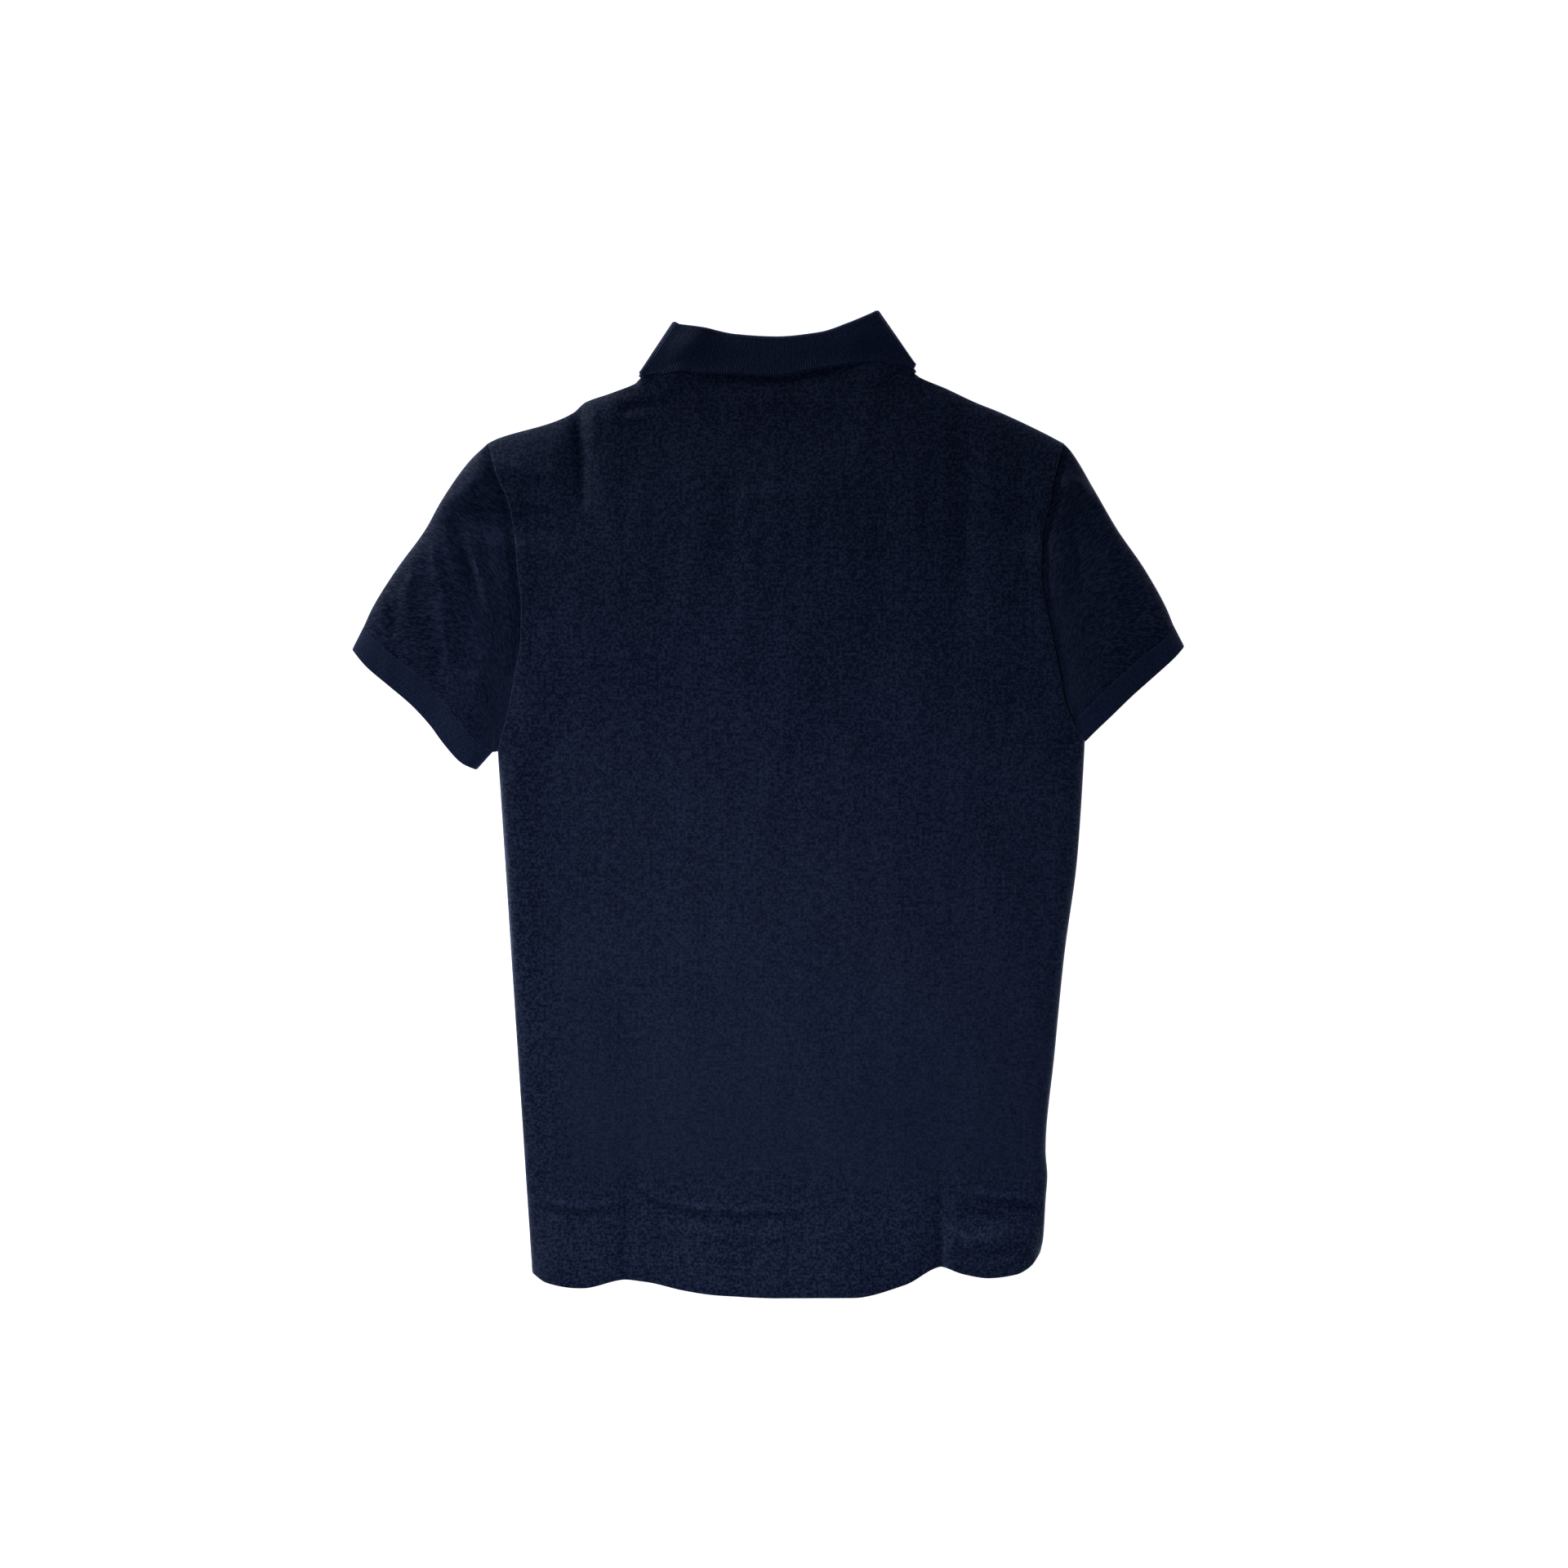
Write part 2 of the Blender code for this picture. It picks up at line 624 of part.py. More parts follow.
def turned(profile, sides):
    """Solid turned about z from (radius, height) pairs; its first and last radius are 0."""
    mesh = bmesh.new()
    poles = [mesh.verts.new((0, 0, height * MM)) for radius, height in (profile[0], profile[-1])]
    rings = []
    for radius, height in profile[1:-1]:
        turns = [2 * math.pi * side / sides for side in range(sides)]
        rings.append([
            mesh.verts.new((radius * math.cos(a) * MM, radius * math.sin(a) * MM, height * MM))
            for a in turns
        ])
    for side in range(sides):
        beside = (side + 1) % sides
        mesh.faces.new((poles[0], rings[0][beside], rings[0][side]))
        mesh.faces.new((poles[1], rings[-1][side], rings[-1][beside]))
        for low, high in zip(rings, rings[1:]):
            mesh.faces.new((low[side], low[beside], high[beside], high[side]))
    bmesh.ops.recalc_face_normals(mesh, faces=mesh.faces)
    return mesh


def material(finish):
    """Principled material of a finish, made once."""
    made = bpy.data.materials.get(finish.name)
    if made is None:
        made = bpy.data.materials.new(finish.name)
        made.use_nodes = True
        shader = made.node_tree.nodes["Principled BSDF"]
        shader.inputs["Base Color"].default_value = (*finish.colour, 1.0)
        shader.inputs["Roughness"].default_value = finish.roughness
        shader.inputs["Metallic"].default_value = finish.metallic
    return made


def add_piece(name, mesh, finish, shirt, place=(0.0, 0.0, 0.0)):
    """Make one object of the shirt from a bmesh, with its own origin at a place."""
    data = bpy.data.meshes.new(name)
    mesh.to_mesh(data)
    mesh.free()
    data.shade_smooth()
    data.set_sharp_from_angle(angle=SHARP_ANGLE)
    data.materials.append(material(finish))
    piece = bpy.data.objects.new(name, data)
    bpy.context.collection.objects.link(piece)
    piece.parent = shirt
    piece.location = [size * MM for size in place]
    return piece


def moved(grid, place):
    """Grid of points measured from a place."""
    return grid - np.array(place, float)


# ---------------------------------------------------------------- pieces


def add_back(shirt):
    """Back panel, on top, closed on the front at the side and shoulder seams."""
    rows, _, top = body_plan("back", BACK_LOW_ROWS, 0.0)
    points = [
        [back_point(x, y, left, right, edge) for x, y, edge in zip(xs, ys, top)]
        for xs, ys, left, right in rows
    ]
    points = np.array(points)
    add_piece("back", wall(points[:, :, 0], points[:, :, 1]), PIQUE_FINISH, shirt)


def front_grid():
    """Outer points of the front panel and of the placket's outer strip."""
    rows, _, _ = body_plan("front", FRONT_LOW_ROWS, FRONT_HEM_RISE)
    return np.array([[(x, y, front_lift(x, y)) for x, y in zip(xs, ys)] for xs, ys, *_ in rows])


def raised(grid, height):
    """Grid of points moved up."""
    return grid + np.array([0.0, 0.0, height])


def in_slot(row, column):
    """Whether a cell of the front's grid lies in the placket's slot."""
    return row >= len(FRONT_LOW_ROWS) - 1 and 2 <= COLUMNS[column] < 3


def add_front(shirt):
    """Front panel, on the ground, with its slot left open."""
    outer = front_grid()
    rows, columns = outer.shape[:2]
    kept = [[not in_slot(row, column) for column in range(columns)] for row in range(rows)]
    add_piece("front", wall(outer, raised(outer, PIQUE), kept), PIQUE_FINISH, shirt)


def add_placket(shirt):
    """Two strips that fill the slot, one on the other, made from the panel's own points."""
    first = int(np.argmax(COLUMNS == 2))
    low = len(FRONT_LOW_ROWS) - 1
    strip = front_grid()[low:, first:first + SLOT_CELLS + 1].copy()
    strip[:, 0, 0] += SEAM
    strip[:, -1, 0] -= SEAM
    strip[0, :, 1] += SEAM
    for name, ply in (("placket_over", 0), ("placket_under", 1)):
        base = raised(strip, ply * (PIQUE + SEAM))
        add_piece(name, wall(base, raised(base, PIQUE)), PIQUE_FINISH, shirt)


def tube_rings(plan, shares, wall_size, tip, crown):
    """Outer and inner ring of a flattened tube, across plan(share, 0..1) from fold to underarm.

    The lower half lies on the ground, and the upper half rises to crown(x, y).
    """
    length = np.linalg.norm(plan(1.0) - plan(0.0))
    rings = []
    for inset in (0.0, wall_size):
        ring = []
        for upper in (False, True):
            ordered = reversed(shares[1:-1]) if upper else shares
            for share in ordered:
                x, y = plan((inset + share * (length - 2 * inset)) / length)
                distance = min(share, 1 - share) * length
                if upper:
                    rise = round_rise(distance / SEAM_ROLL)
                    height = tip + (crown(*plan(share)) - tip) * rise - inset * rise
                else:
                    rise = 1 - round_rise(distance / FLOOR_ROLL)
                    height = inset + (tip - inset) * rise
                ring.append((x, y, height))
        rings.append(ring)
    return rings


def armhole_line(sleeve):
    """x and y of the points that the body's rows give along one armhole, from the underarm up."""
    column = "left" if sleeve.outward < 0 else "right"
    underarm = LEFT_UNDERARM_Y if sleeve.outward < 0 else RIGHT_UNDERARM_Y
    ys = blend(underarm, sleeve.fold[0].y, np.array(HIGH_ROWS))
    return read(ARMHOLES, column, ys), ys


def ring_shares(sleeve):
    """Shares across a sleeve, from its fold to its underarm, that meet the body's rows."""
    tip_y = sleeve.fold[0].y
    _, ys = armhole_line(sleeve)
    above = [y for y in ys[::-1] if y > sleeve.underarm_y]
    return [(tip_y - y) / (tip_y - sleeve.underarm_y) for y in above] + [1.0]


def sleeve_plan(sleeve, share, out):
    """x and y on a sleeve: share 0 at its fold, 1 at the underarm; out 0 at the armhole, 1 cuff."""
    line_x, line_y = armhole_line(sleeve)

    def armhole(at):
        y = blend(sleeve.fold[0].y, sleeve.underarm_y, at)
        return np.array([np.interp(y, line_y, line_x) + SEAM * sleeve.outward, y])

    corners = [armhole(0.0), armhole(1.0)]
    corners += [np.array(sleeve.cuff_seam[0]), np.array(sleeve.cuff_seam[-1])]
    fold = (corners[0], *sleeve.fold[1:])
    around = blend(armhole(share), along(sleeve.cuff_seam, share), out)
    outward = blend(along(fold, out), blend(corners[1], corners[3], out), share)
    flat = blend(blend(corners[0], corners[1], share), blend(corners[2], corners[3], share), out)
    return around + outward - flat


def add_sleeve(side, shirt):
    """Sleeve: a flattened tube from the armhole to the rib band."""
    sleeve = SLEEVES[side]
    rings = [
        tube_rings(
            lambda share, out=out: sleeve_plan(sleeve, share, out),
            ring_shares(sleeve), PIQUE, PIQUE + SEAM, cloth_top,
        )
        for out in SLEEVE_ROWS
    ]
    rings = moved(np.array(rings), (*sleeve.fold[0], 0.0))
    mesh = wall(rings[:, 0], rings[:, 1], wraps=True)
    add_piece(f"sleeve_{side}", mesh, PIQUE_FINISH, shirt, (*sleeve.fold[0], 0.0))


def add_cuff(side, shirt):
    """Rib band of a sleeve: a short flattened tube, a little thicker than the sleeve."""
    sleeve = SLEEVES[side]

    def crown(x, y):
        return cloth_top(x, y) + 2 * (SLEEVE_RIB - PIQUE)

    def plan(share, out):
        return blend(along(sleeve.cuff_seam, share), along(sleeve.cuff_edge, share), out)

    rings = [
        tube_rings(
            lambda share, out=out: plan(share, out),
            ring_shares(sleeve), SLEEVE_RIB, SLEEVE_RIB + SEAM, crown,
        )
        for out in CUFF_ROWS
    ]
    rings = moved(np.array(rings), (*sleeve.cuff_seam[0], 0.0))
    mesh = wall(rings[:, 0], rings[:, 1], wraps=True)
    add_piece(f"cuff_{side}", mesh, RIB_FINISH, shirt, (*sleeve.cuff_seam[0], 0.0))


Station = namedtuple("Station", "seam fold edge turn height")


def station(rows, x, turn, seam_line):
    """Collar station on one table of rows, its seam just above the panel's edge at x."""
    before, here, after = np.interp((x - SLOPE_STEP, x, x + SLOPE_STEP), *seam_line)
    slope = (after - before) / (2 * SLOPE_STEP)
    seam = (x, float(here) + SEAM * math.hypot(1.0, slope))
    fold = [float(read(rows, axis, x, by="seam_x")) for axis in ("fold_x", "fold_y")]
    edge = [float(read(rows, axis, x, by="seam_x")) for axis in ("edge_x", "edge_y")]
    height = collar_centre(x) if turn > 0 else TURN_HEIGHT
    return Station(np.array(seam), np.array(fold), np.array(edge), turn, height)


def turn_stations(start, end):
    """Stations of the half turn at one side of the neck, between its two neighbours."""
    stations = []
    for degrees in TURN_STEPS:
        share = degrees / 180
        points = [blend(getattr(start, at), getattr(end, at), share) for at in ("seam", "fold", "edge")]
        stations.append(Station(*points, blend(start.turn, end.turn, share), TURN_HEIGHT))
    return stations


def collar_stations():
    """Stations round the whole neck, from one front end to the other."""
    lines = {}
    for layer in ("back", "front"):
        _, top_x, top = body_plan(layer, FRONT_LOW_ROWS, 0.0)
        lines[layer] = (top_x, top)
    xs = lines["back"][0]
    xs = xs[(xs > LEFT_NECK_X - NECK_MARGIN) & (xs < RIGHT_NECK_X + NECK_MARGIN)]
    between = (xs[1:] + xs[:-1]) / 2
    back = [station(COLLAR_BACK, x, 90, lines["back"]) for x in sorted([*xs, *between])]
    left_end, right_end = CENTRE_FRONT - COLLAR_END_GAP, CENTRE_FRONT + COLLAR_END_GAP
    left_xs = [*xs[xs < left_end - COLLAR_END_STEP], left_end]
    right_xs = [right_end, *xs[xs > right_end + COLLAR_END_STEP]]
    left = [station(COLLAR_FRONT_LEFT, x, -90, lines["front"]) for x in reversed(left_xs)]
    right = [station(COLLAR_FRONT_RIGHT, x, -90, lines["front"]) for x in reversed(right_xs)]
    left_turn = turn_stations(left[-1], back[0])
    right_turn = turn_stations(back[-1], right[0])
    return left + left_turn + back + right_turn + right


def collar_section(place):
    """Outer and inner points of the collar at one station: stand, roll and leaf."""
    turn = math.radians(place.turn)
    down = place.edge - place.fold
    outward = np.array([-down[1], down[0]]) / np.linalg.norm(down)
    outward = outward * math.copysign(1.0, outward[0] * (place.fold[0] - CENTRE_FRONT))
    up = place.fold - place.seam
    up = np.array([*up, 0.0]) / np.linalg.norm(up)
    radial = np.array([*(outward * math.cos(turn)), math.sin(turn)])
    middle = (STAND_RADIUS + LEAF_RADIUS) / 2
    roll = (LEAF_RADIUS - STAND_RADIUS) / 2
    seam, fold, edge = (np.array([*at, place.height]) for at in (place.seam, place.fold, place.edge))
    line = [(blend(seam, fold, share) + STAND_RADIUS * radial, -radial) for share in STAND_SHARES]
    for degrees in ROLL_STEPS:
        angle = math.radians(degrees)
        normal = math.sin(angle) * up - math.cos(angle) * radial
        line.append((fold + middle * radial + roll * normal, normal))
    line += [(blend(fold, edge, share) + LEAF_RADIUS * radial, radial) for share in LEAF_SHARES]
    half = COLLAR_RIB / 2
    return [[point + side * half * normal for point, normal in line] for side in (1, -1)]


def add_collar(shirt):
    """Collar: one rib strip round the neck, its stand inside and its leaf folded over."""
    sections = np.array([collar_section(place) for place in collar_stations()])
    place = (CENTRE_FRONT, BACK_NECK_Y, 0.0)
    sections = moved(sections, place)
    add_piece("collar", wall(sections[:, 0], sections[:, 1]), RIB_FINISH, shirt, place)


def add_buttons(shirt):
    """Buttons under the placket, their sunk faces to the ground."""
    edge = BUTTON_RADIUS - BUTTON_EDGE
    profile = (
        (0.0, BUTTON_WELL_DEPTH),
        (BUTTON_WELL_RADIUS - BUTTON_EDGE, BUTTON_WELL_DEPTH),
        (BUTTON_WELL_RADIUS, 0.0),
        (edge, 0.0),
        (BUTTON_RADIUS, BUTTON_EDGE),
        (BUTTON_RADIUS, BUTTON_THICKNESS - BUTTON_EDGE),
        (edge, BUTTON_THICKNESS),
        (0.0, BUTTON_THICKNESS),
    )
    for name, y in BUTTONS.items():
        add_piece(name, turned(profile, BUTTON_SIDES), BUTTON_FINISH, shirt, (CENTRE_FRONT, y, 0.0))


def build_shirt():
    """Clear the scene and make every piece of the shirt under one empty."""
    for thing in list(bpy.data.objects):
        bpy.data.objects.remove(thing, do_unlink=True)
    shirt = bpy.data.objects.new("polo_shirt", None)
    bpy.context.collection.objects.link(shirt)
    add_back(shirt)
    add_front(shirt)
    add_placket(shirt)
    for side in SLEEVES:
        add_sleeve(side, shirt)
        add_cuff(side, shirt)
    add_collar(shirt)
    add_buttons(shirt)


build_shirt()
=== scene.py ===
"""The looks of a navy polo shirt that lies flat with its back up.

x runs from the wearer's left sleeve to the right one, y from hem to collar and z up from the
ground. Shapes are worked out in millimetres, and MM turns them to metres. Every cloth piece is a
fine closed wall over the plain solid of the same name.
"""
import logging
import math
from collections.abc import Callable, Sequence
from dataclasses import dataclass
from enum import Enum
from typing import NamedTuple, TypeVar

import bpy
import numpy as np
from mathutils import Matrix, Vector


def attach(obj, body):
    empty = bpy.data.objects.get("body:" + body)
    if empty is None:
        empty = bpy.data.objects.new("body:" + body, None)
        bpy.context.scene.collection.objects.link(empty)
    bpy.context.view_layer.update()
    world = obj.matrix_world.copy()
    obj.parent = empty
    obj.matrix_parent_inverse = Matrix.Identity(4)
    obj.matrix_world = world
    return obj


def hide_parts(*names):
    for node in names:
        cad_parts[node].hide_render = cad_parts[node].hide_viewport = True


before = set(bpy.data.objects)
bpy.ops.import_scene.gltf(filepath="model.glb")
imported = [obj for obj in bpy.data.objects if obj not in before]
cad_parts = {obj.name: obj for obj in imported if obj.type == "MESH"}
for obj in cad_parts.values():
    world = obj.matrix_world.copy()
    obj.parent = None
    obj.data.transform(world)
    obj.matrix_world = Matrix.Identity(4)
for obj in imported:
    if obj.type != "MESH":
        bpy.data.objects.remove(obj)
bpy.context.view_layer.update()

MM = 0.001
BODY = "root"
TINY = 1e-9
LOG = logging.getLogger("polo_shirt")

Array = np.ndarray
Pair = tuple[float, float]
Socket = bpy.types.NodeSocket
Piece = bpy.types.Object
Material = bpy.types.Material


# ---- rows of the tables


class Edges(NamedTuple):
    """Left and right value at one height."""

    y: float
    left: float
    right: float


class Point(NamedTuple):
    """A place on the ground."""

    x: float
    y: float


class CollarRow(NamedTuple):
    """Where the collar is sewn on, folded over and ends."""

    seam_x: float
    seam_y: float
    fold_x: float
    fold_y: float
    edge_x: float
    edge_y: float


class Loft(NamedTuple):
    """Air between the back panel and what lies under it, at one height."""

    y: float
    air: float


class Puff(NamedTuple):
    """A stretch of the hem that stands off the ground."""

    x: float
    half_width: float
    height: float
    reach: float


class Crease(NamedTuple):
    """A soft line in the cloth: a ridge where height is positive, a trough where negative."""

    points: Sequence[Pair]
    half_width: float
    height: float


class Cloud(NamedTuple):
    """Uneven brightness on the flat cloth.

    turn is in degrees, across and up are patches in a metre, and swing is how far the brightness
    strays either way.
    """

    turn: float
    across: float
    up: float
    detail: float
    roughness: float
    swing: float


class Side(Enum):
    """Side of the wearer, with the way that it points along x."""

    LEFT = -1
    RIGHT = 1

    @property
    def word(self) -> str:
        """Name of the side in the names of nodes."""
        return self.name.lower()

    @property
    def number(self) -> int:
        """Place of the side in a pair of values: left, right."""
        return int(self is Side.RIGHT)


class Layer(Enum):
    """Panel of the body, with the turn in degrees of the collar that is sewn to it."""

    BACK = 90
    FRONT = -90


Row = TypeVar("Row", bound=tuple)


def rows_of(kind: type[Row], *values: tuple[float, ...]) -> tuple[Row, ...]:
    """Rows of a table, each made from one plain tuple."""
    return tuple(kind(*value) for value in values)


def creases(*values: tuple) -> tuple[Crease, ...]:
    """Creases, each made from its half width, its height and then its points."""
    return tuple(Crease(points, half_width, height) for half_width, height, *points in values)


# ---- curves and blends


def unit(vectors: Array) -> Array:
    """Vectors in the last axis, brought to length 1."""
    return vectors / np.linalg.norm(vectors, axis=-1, keepdims=True)


def closest(values: Array, value: float) -> int:
    """Number of the entry that lies closest to a value."""
    return int(np.abs(values - value).argmin())


def run_of(line: Array) -> Array:
    """Distance along a bent line at each of its points."""
    return np.concatenate([[0.0], np.cumsum(np.linalg.norm(np.diff(line, axis=0), axis=1))])


def smooth(at: Array | float, xs: Sequence[float], ys: Sequence[float]) -> Array:
    """Read a smooth curve that never overshoots its points.

    Args:
        at: Places to read it at.
        xs: Places of the points, rising.
        ys: Values of the points.

    Returns:
        One value for each place.
    """
    xs, ys = np.asarray(xs, float), np.asarray(ys, float)
    step = np.diff(xs)
    rise = np.diff(ys) / step
    same_way = rise[1:] * rise[:-1] > 0
    total = np.where(same_way, rise[1:] + rise[:-1], 1.0)
    bend = np.where(same_way, 2 * rise[1:] * rise[:-1] / total, 0.0)
    slope = np.concatenate([rise[:1], bend, rise[-1:]])
    at = np.clip(at, xs[0], xs[-1])
    i = np.clip(np.searchsorted(xs, at, side="right") - 1, 0, len(step) - 1)
    t = (at - xs[i]) / step[i]
    ends = (1 + 2 * t) * (1 - t) ** 2 * ys[i] + t**2 * (3 - 2 * t) * ys[i + 1]
    turns = t * (1 - t) ** 2 * slope[i] - t**2 * (1 - t) * slope[i + 1]
    return ends + turns * step[i]


def read(table: Sequence[NamedTuple], column: str, at: Array | float, by: str = "y") -> Array:
    """Read one named column of a table at some places in another column, by which it is sorted."""
    return smooth(at, [getattr(row, by) for row in table], [getattr(row, column) for row in table])


def along(points: Sequence[Pair], share: Array | float) -> Array:
    """Places at shares of the way along a smooth curve through some points.

    Args:
        points: Points of the curve.
        share: Shares from 0 to 1.

    Returns:
        x and y in the last axis.
    """
    places = np.array(points, float)
    reached = run_of(places)
    at = np.asarray(share) * reached[-1]
    return np.stack([smooth(at, reached, places[:, axis]) for axis in (0, 1)], axis=-1)


def blend(start: Array | float, end: Array | float, share: Array | float) -> Array | float:
    """Value at a share of the way from start to end."""
    return start + (end - start) * share


def ease(share: Array | float) -> Array:
    """Smooth step from 0 to 1 as share goes from 0 to 1."""
    share = np.clip(share, 0.0, 1.0)
    return share * share * (3 - 2 * share)


def round_rise(share: Array | float) -> Array:
    """Quarter-circle rise from 0 to 1 as share goes from 0 to 1."""
    share = np.clip(share, 0.0, 1.0)
    return np.sqrt(1 - (1 - share) ** 2)


def fade(distance: Array | float, width: Array | float) -> Array:
    """Soft step, 1 up to distance 0 and 0 from width on."""
    return 1 - ease(distance / width)


def fall(distance: Array | float, width: Array | float) -> Array:
    """Hollow quarter circle, 1 up to distance 0 and 0 from width on."""
    return 1 - round_rise(distance / width)


def bump(distance: Array | float, half_width: float) -> Array:
    """Soft hump, 1 at distance 0 and 0 from half_width on."""
    return (1 + np.cos(np.minimum(np.abs(distance) / half_width, 1.0) * math.pi)) / 2


def to_segment(
    x: Array, y: Array, start: Sequence[float], end: Sequence[float]
) -> tuple[Array, Array]:
    """Distance from places to a straight line.

    Args:
        x: x of the places.
        y: y of the places.
        start: First end of the line.
        end: Last end of the line.

    Returns:
        The distance, and the share of the way along the line.
    """
    across, up = end[0] - start[0], end[1] - start[1]
    share = ((x - start[0]) * across + (y - start[1]) * up) / (across * across + up * up)
    share = np.clip(share, 0.0, 1.0)
    return np.hypot(x - start[0] - share * across, y - start[1] - share * up), share


def to_line(x: Array, y: Array, points: Sequence[Sequence[float]]) -> tuple[Array, Array]:
    """Distance from places to a bent line.

    Args:
        x: x of the places.
        y: y of the places.
        points: Points of the line.

    Returns:
        The distance, and the share of the way along the line.
    """
    nearest = np.full(np.shape(x), np.inf)
    reached = np.zeros(np.shape(x))
    parts = len(points) - 1
    for number, (start, end) in enumerate(zip(points, points[1:])):
        distance, share = to_segment(x, y, start, end)
        closer = distance < nearest
        nearest = np.where(closer, distance, nearest)
        reached = np.where(closer, (number + share) / parts, reached)
    return nearest, reached


def outside(x: Array, y: Array, outline: Sequence[Sequence[float]]) -> Array:
    """Distance from places to a closed outline, 0 inside it.

    Args:
        x: x of the places.
        y: y of the places.
        outline: Corners of the outline.

    Returns:
        One distance for each place.
    """
    inside = np.zeros(np.shape(x), bool)
    nearest = np.full(np.shape(x), np.inf)
    for start, end in zip(outline, [*outline[1:], outline[0]]):
        nearest = np.minimum(nearest, to_segment(x, y, start, end)[0])
        if start[1] != end[1]:
            spans = (start[1] > y) != (end[1] > y)
            crossing = start[0] + (y - start[1]) / (end[1] - start[1]) * (end[0] - start[0])
            inside ^= spans & (x < crossing)
    return np.where(inside, 0.0, nearest)


def graded(
    length: float, fine: float, coarse: float, low: bool = True, high: bool = True
) -> Array:
    """Shares from 0 to 1 that lie close together near the chosen ends.

    Args:
        length: Length that the shares divide.
        fine: First step at a chosen end.
        coarse: Step away from the ends.
        low: Whether the start is a chosen end.
        high: Whether the end is a chosen end.

    Returns:
        The shares, rising, with 0 and 1.
    """
    growth = 1.4
    ramp = [0.0]
    step = fine
    while step < coarse and ramp[-1] + step < length / 3:
        ramp.append(ramp[-1] + step)
        step *= growth
    start = ramp if low else [0.0]
    stop = [length - place for place in reversed(ramp)] if high else [length]
    count = max(int(round((stop[0] - start[-1]) / coarse)), 1)
    middle = np.linspace(start[-1], stop[0], count + 1)
    return np.concatenate([start[:-1], middle, stop[1:]]) / length


# ---- the cut and how it lies


@dataclass(frozen=True)
class ShirtCut:
    """Outline of the shirt as it lies: where each panel's edges run."""

    side_seams: tuple[Edges, ...] = rows_of(
        Edges, (-334, -167.9, 190), (-320, -168.8, 193.5), (-309, -169.5, 195.8), (-282, -171.3, 197.5),
        (-264.5, -172.5, 198.7), (-247, -173.6, 197.5), (-177.5, -178.2, 203.9), (-108, -182.8, 210.8),
        (-38, -187.4, 220.1), (37, -192.4, 225), (43.5, -192.8, 225.3),
    )
    armholes: tuple[Edges, ...] = rows_of(
        Edges, (37, -192.4, 227), (43.5, -190.8, 225.3), (57, -187.2, 217.4), (71, -184, 211.2),
        (94, -179.8, 206.8), (118, -175.8, 202), (141, -175.5, 197.2), (163, -177.8, 194),
        (188, -180.1, 194.6), (213, -184.3, 200), (235, -193.2, 204.2), (256.4, -199.2, 210),
    )
    underarm_y: Pair = (37.0, 43.5)
    hem: tuple[Point, ...] = rows_of(
        Point, (-167.9, -334), (-157, -340), (-131, -343.4), (-101.8, -338.2), (-87, -339.2), (-61, -345),
        (-34, -348.6), (8, -350.3), (60, -350.3), (97, -341.6), (123.3, -329.4), (139, -334),
        (156, -336.5), (175.5, -334.2), (187, -328.3), (193.5, -320),
    )
    left_shoulder: tuple[Point, ...] = rows_of(
        Point, (-199.2, 256.4), (-191.7, 260), (-153, 271.4), (-138, 278.4), (-130.2, 285.4),
        (-110.5, 292.3), (-94.2, 298.6), (-92.2, 300.2), (-90, 303.2),
    )
    right_shoulder: tuple[Point, ...] = rows_of(
        Point, (103.4, 306.2), (105.4, 304.2), (127.9, 294.6), (147.6, 285.4), (165, 278.4),
        (194.6, 264.5), (210, 256.4),
    )
    collar_back: tuple[CollarRow, ...] = rows_of(
        CollarRow, (-90, 303.2, -64.5, 338.7, -87.6, 303.4), (-60, 308, -46, 335.9, -62, 305.9),
        (-30, 309, -23.5, 331.3, -30, 304.4), (5, 310, 5.5, 329.6, 4, 303.4),
        (45, 313.5, 36, 332.6, 42, 309.6), (75, 315, 58, 339.4, 74.5, 313),
        (103.4, 306.2, 75.2, 346.8, 101, 309.6),
    )
    collar_front_left: tuple[CollarRow, ...] = rows_of(
        CollarRow, (-90, 303.2, -64, 338.6, -88.2, 302.3), (-72, 272, -53.5, 308, -83.5, 281),
        (-52.5, 243, -43, 285, -74, 250), (-34.5, 227, -31, 266.5, -63, 227),
        (-17.7, 222.5, -16, 252, -54, 210), (5.2, 221.5, 2.2, 242, -45.5, 199.5),
    )
    collar_front_right: tuple[CollarRow, ...] = rows_of(
        CollarRow, (5.2, 221.5, 8.2, 242, 55.9, 199.5), (28.1, 222.5, 26.4, 252, 64.4, 210),
        (45, 227.5, 41.5, 267, 73.4, 227), (63.5, 246, 54, 287, 85, 251), (84, 277.5, 66, 314, 95.5, 283),
        (103.4, 306.2, 75.2, 346.2, 101.8, 307.6),
    )
    slot_left: float = -17.7
    slot_right: float = 28.1
    slot_bottom: float = 50.5
    front_hem_rise: float = 2.5
    hem_valleys: Pair = (-101.8, 123.3)

    @property
    def tip_y(self) -> float:
        """Height of the shoulder tips."""
        return self.left_shoulder[0].y

    @property
    def neck_x(self) -> Pair:
        """x of the two neck points."""
        return self.collar_back[0].seam_x, self.collar_back[-1].seam_x

    @property
    def centre_front(self) -> float:
        """x of the middle of the placket."""
        return (self.slot_left + self.slot_right) / 2

    @property
    def placket_outline(self) -> list[Pair]:
        """Corners of the placket."""
        top = self.collar_front_left[-1].seam_y
        low = [(self.slot_left, self.slot_bottom), (self.slot_right, self.slot_bottom)]
        return low + [(self.slot_right, top), (self.slot_left, top)]

    def leaf_outline(self, rows: Sequence[CollarRow]) -> list[Pair]:
        """Closed outline of one front leaf of the collar."""
        edge = [(row.edge_x, row.edge_y) for row in rows]
        return edge + [(row.fold_x, row.fold_y) for row in reversed(rows)]

    def hem_y(self, x: Array) -> Array:
        """Height of the back panel's hem."""
        return read(self.hem, "y", x, by="x")

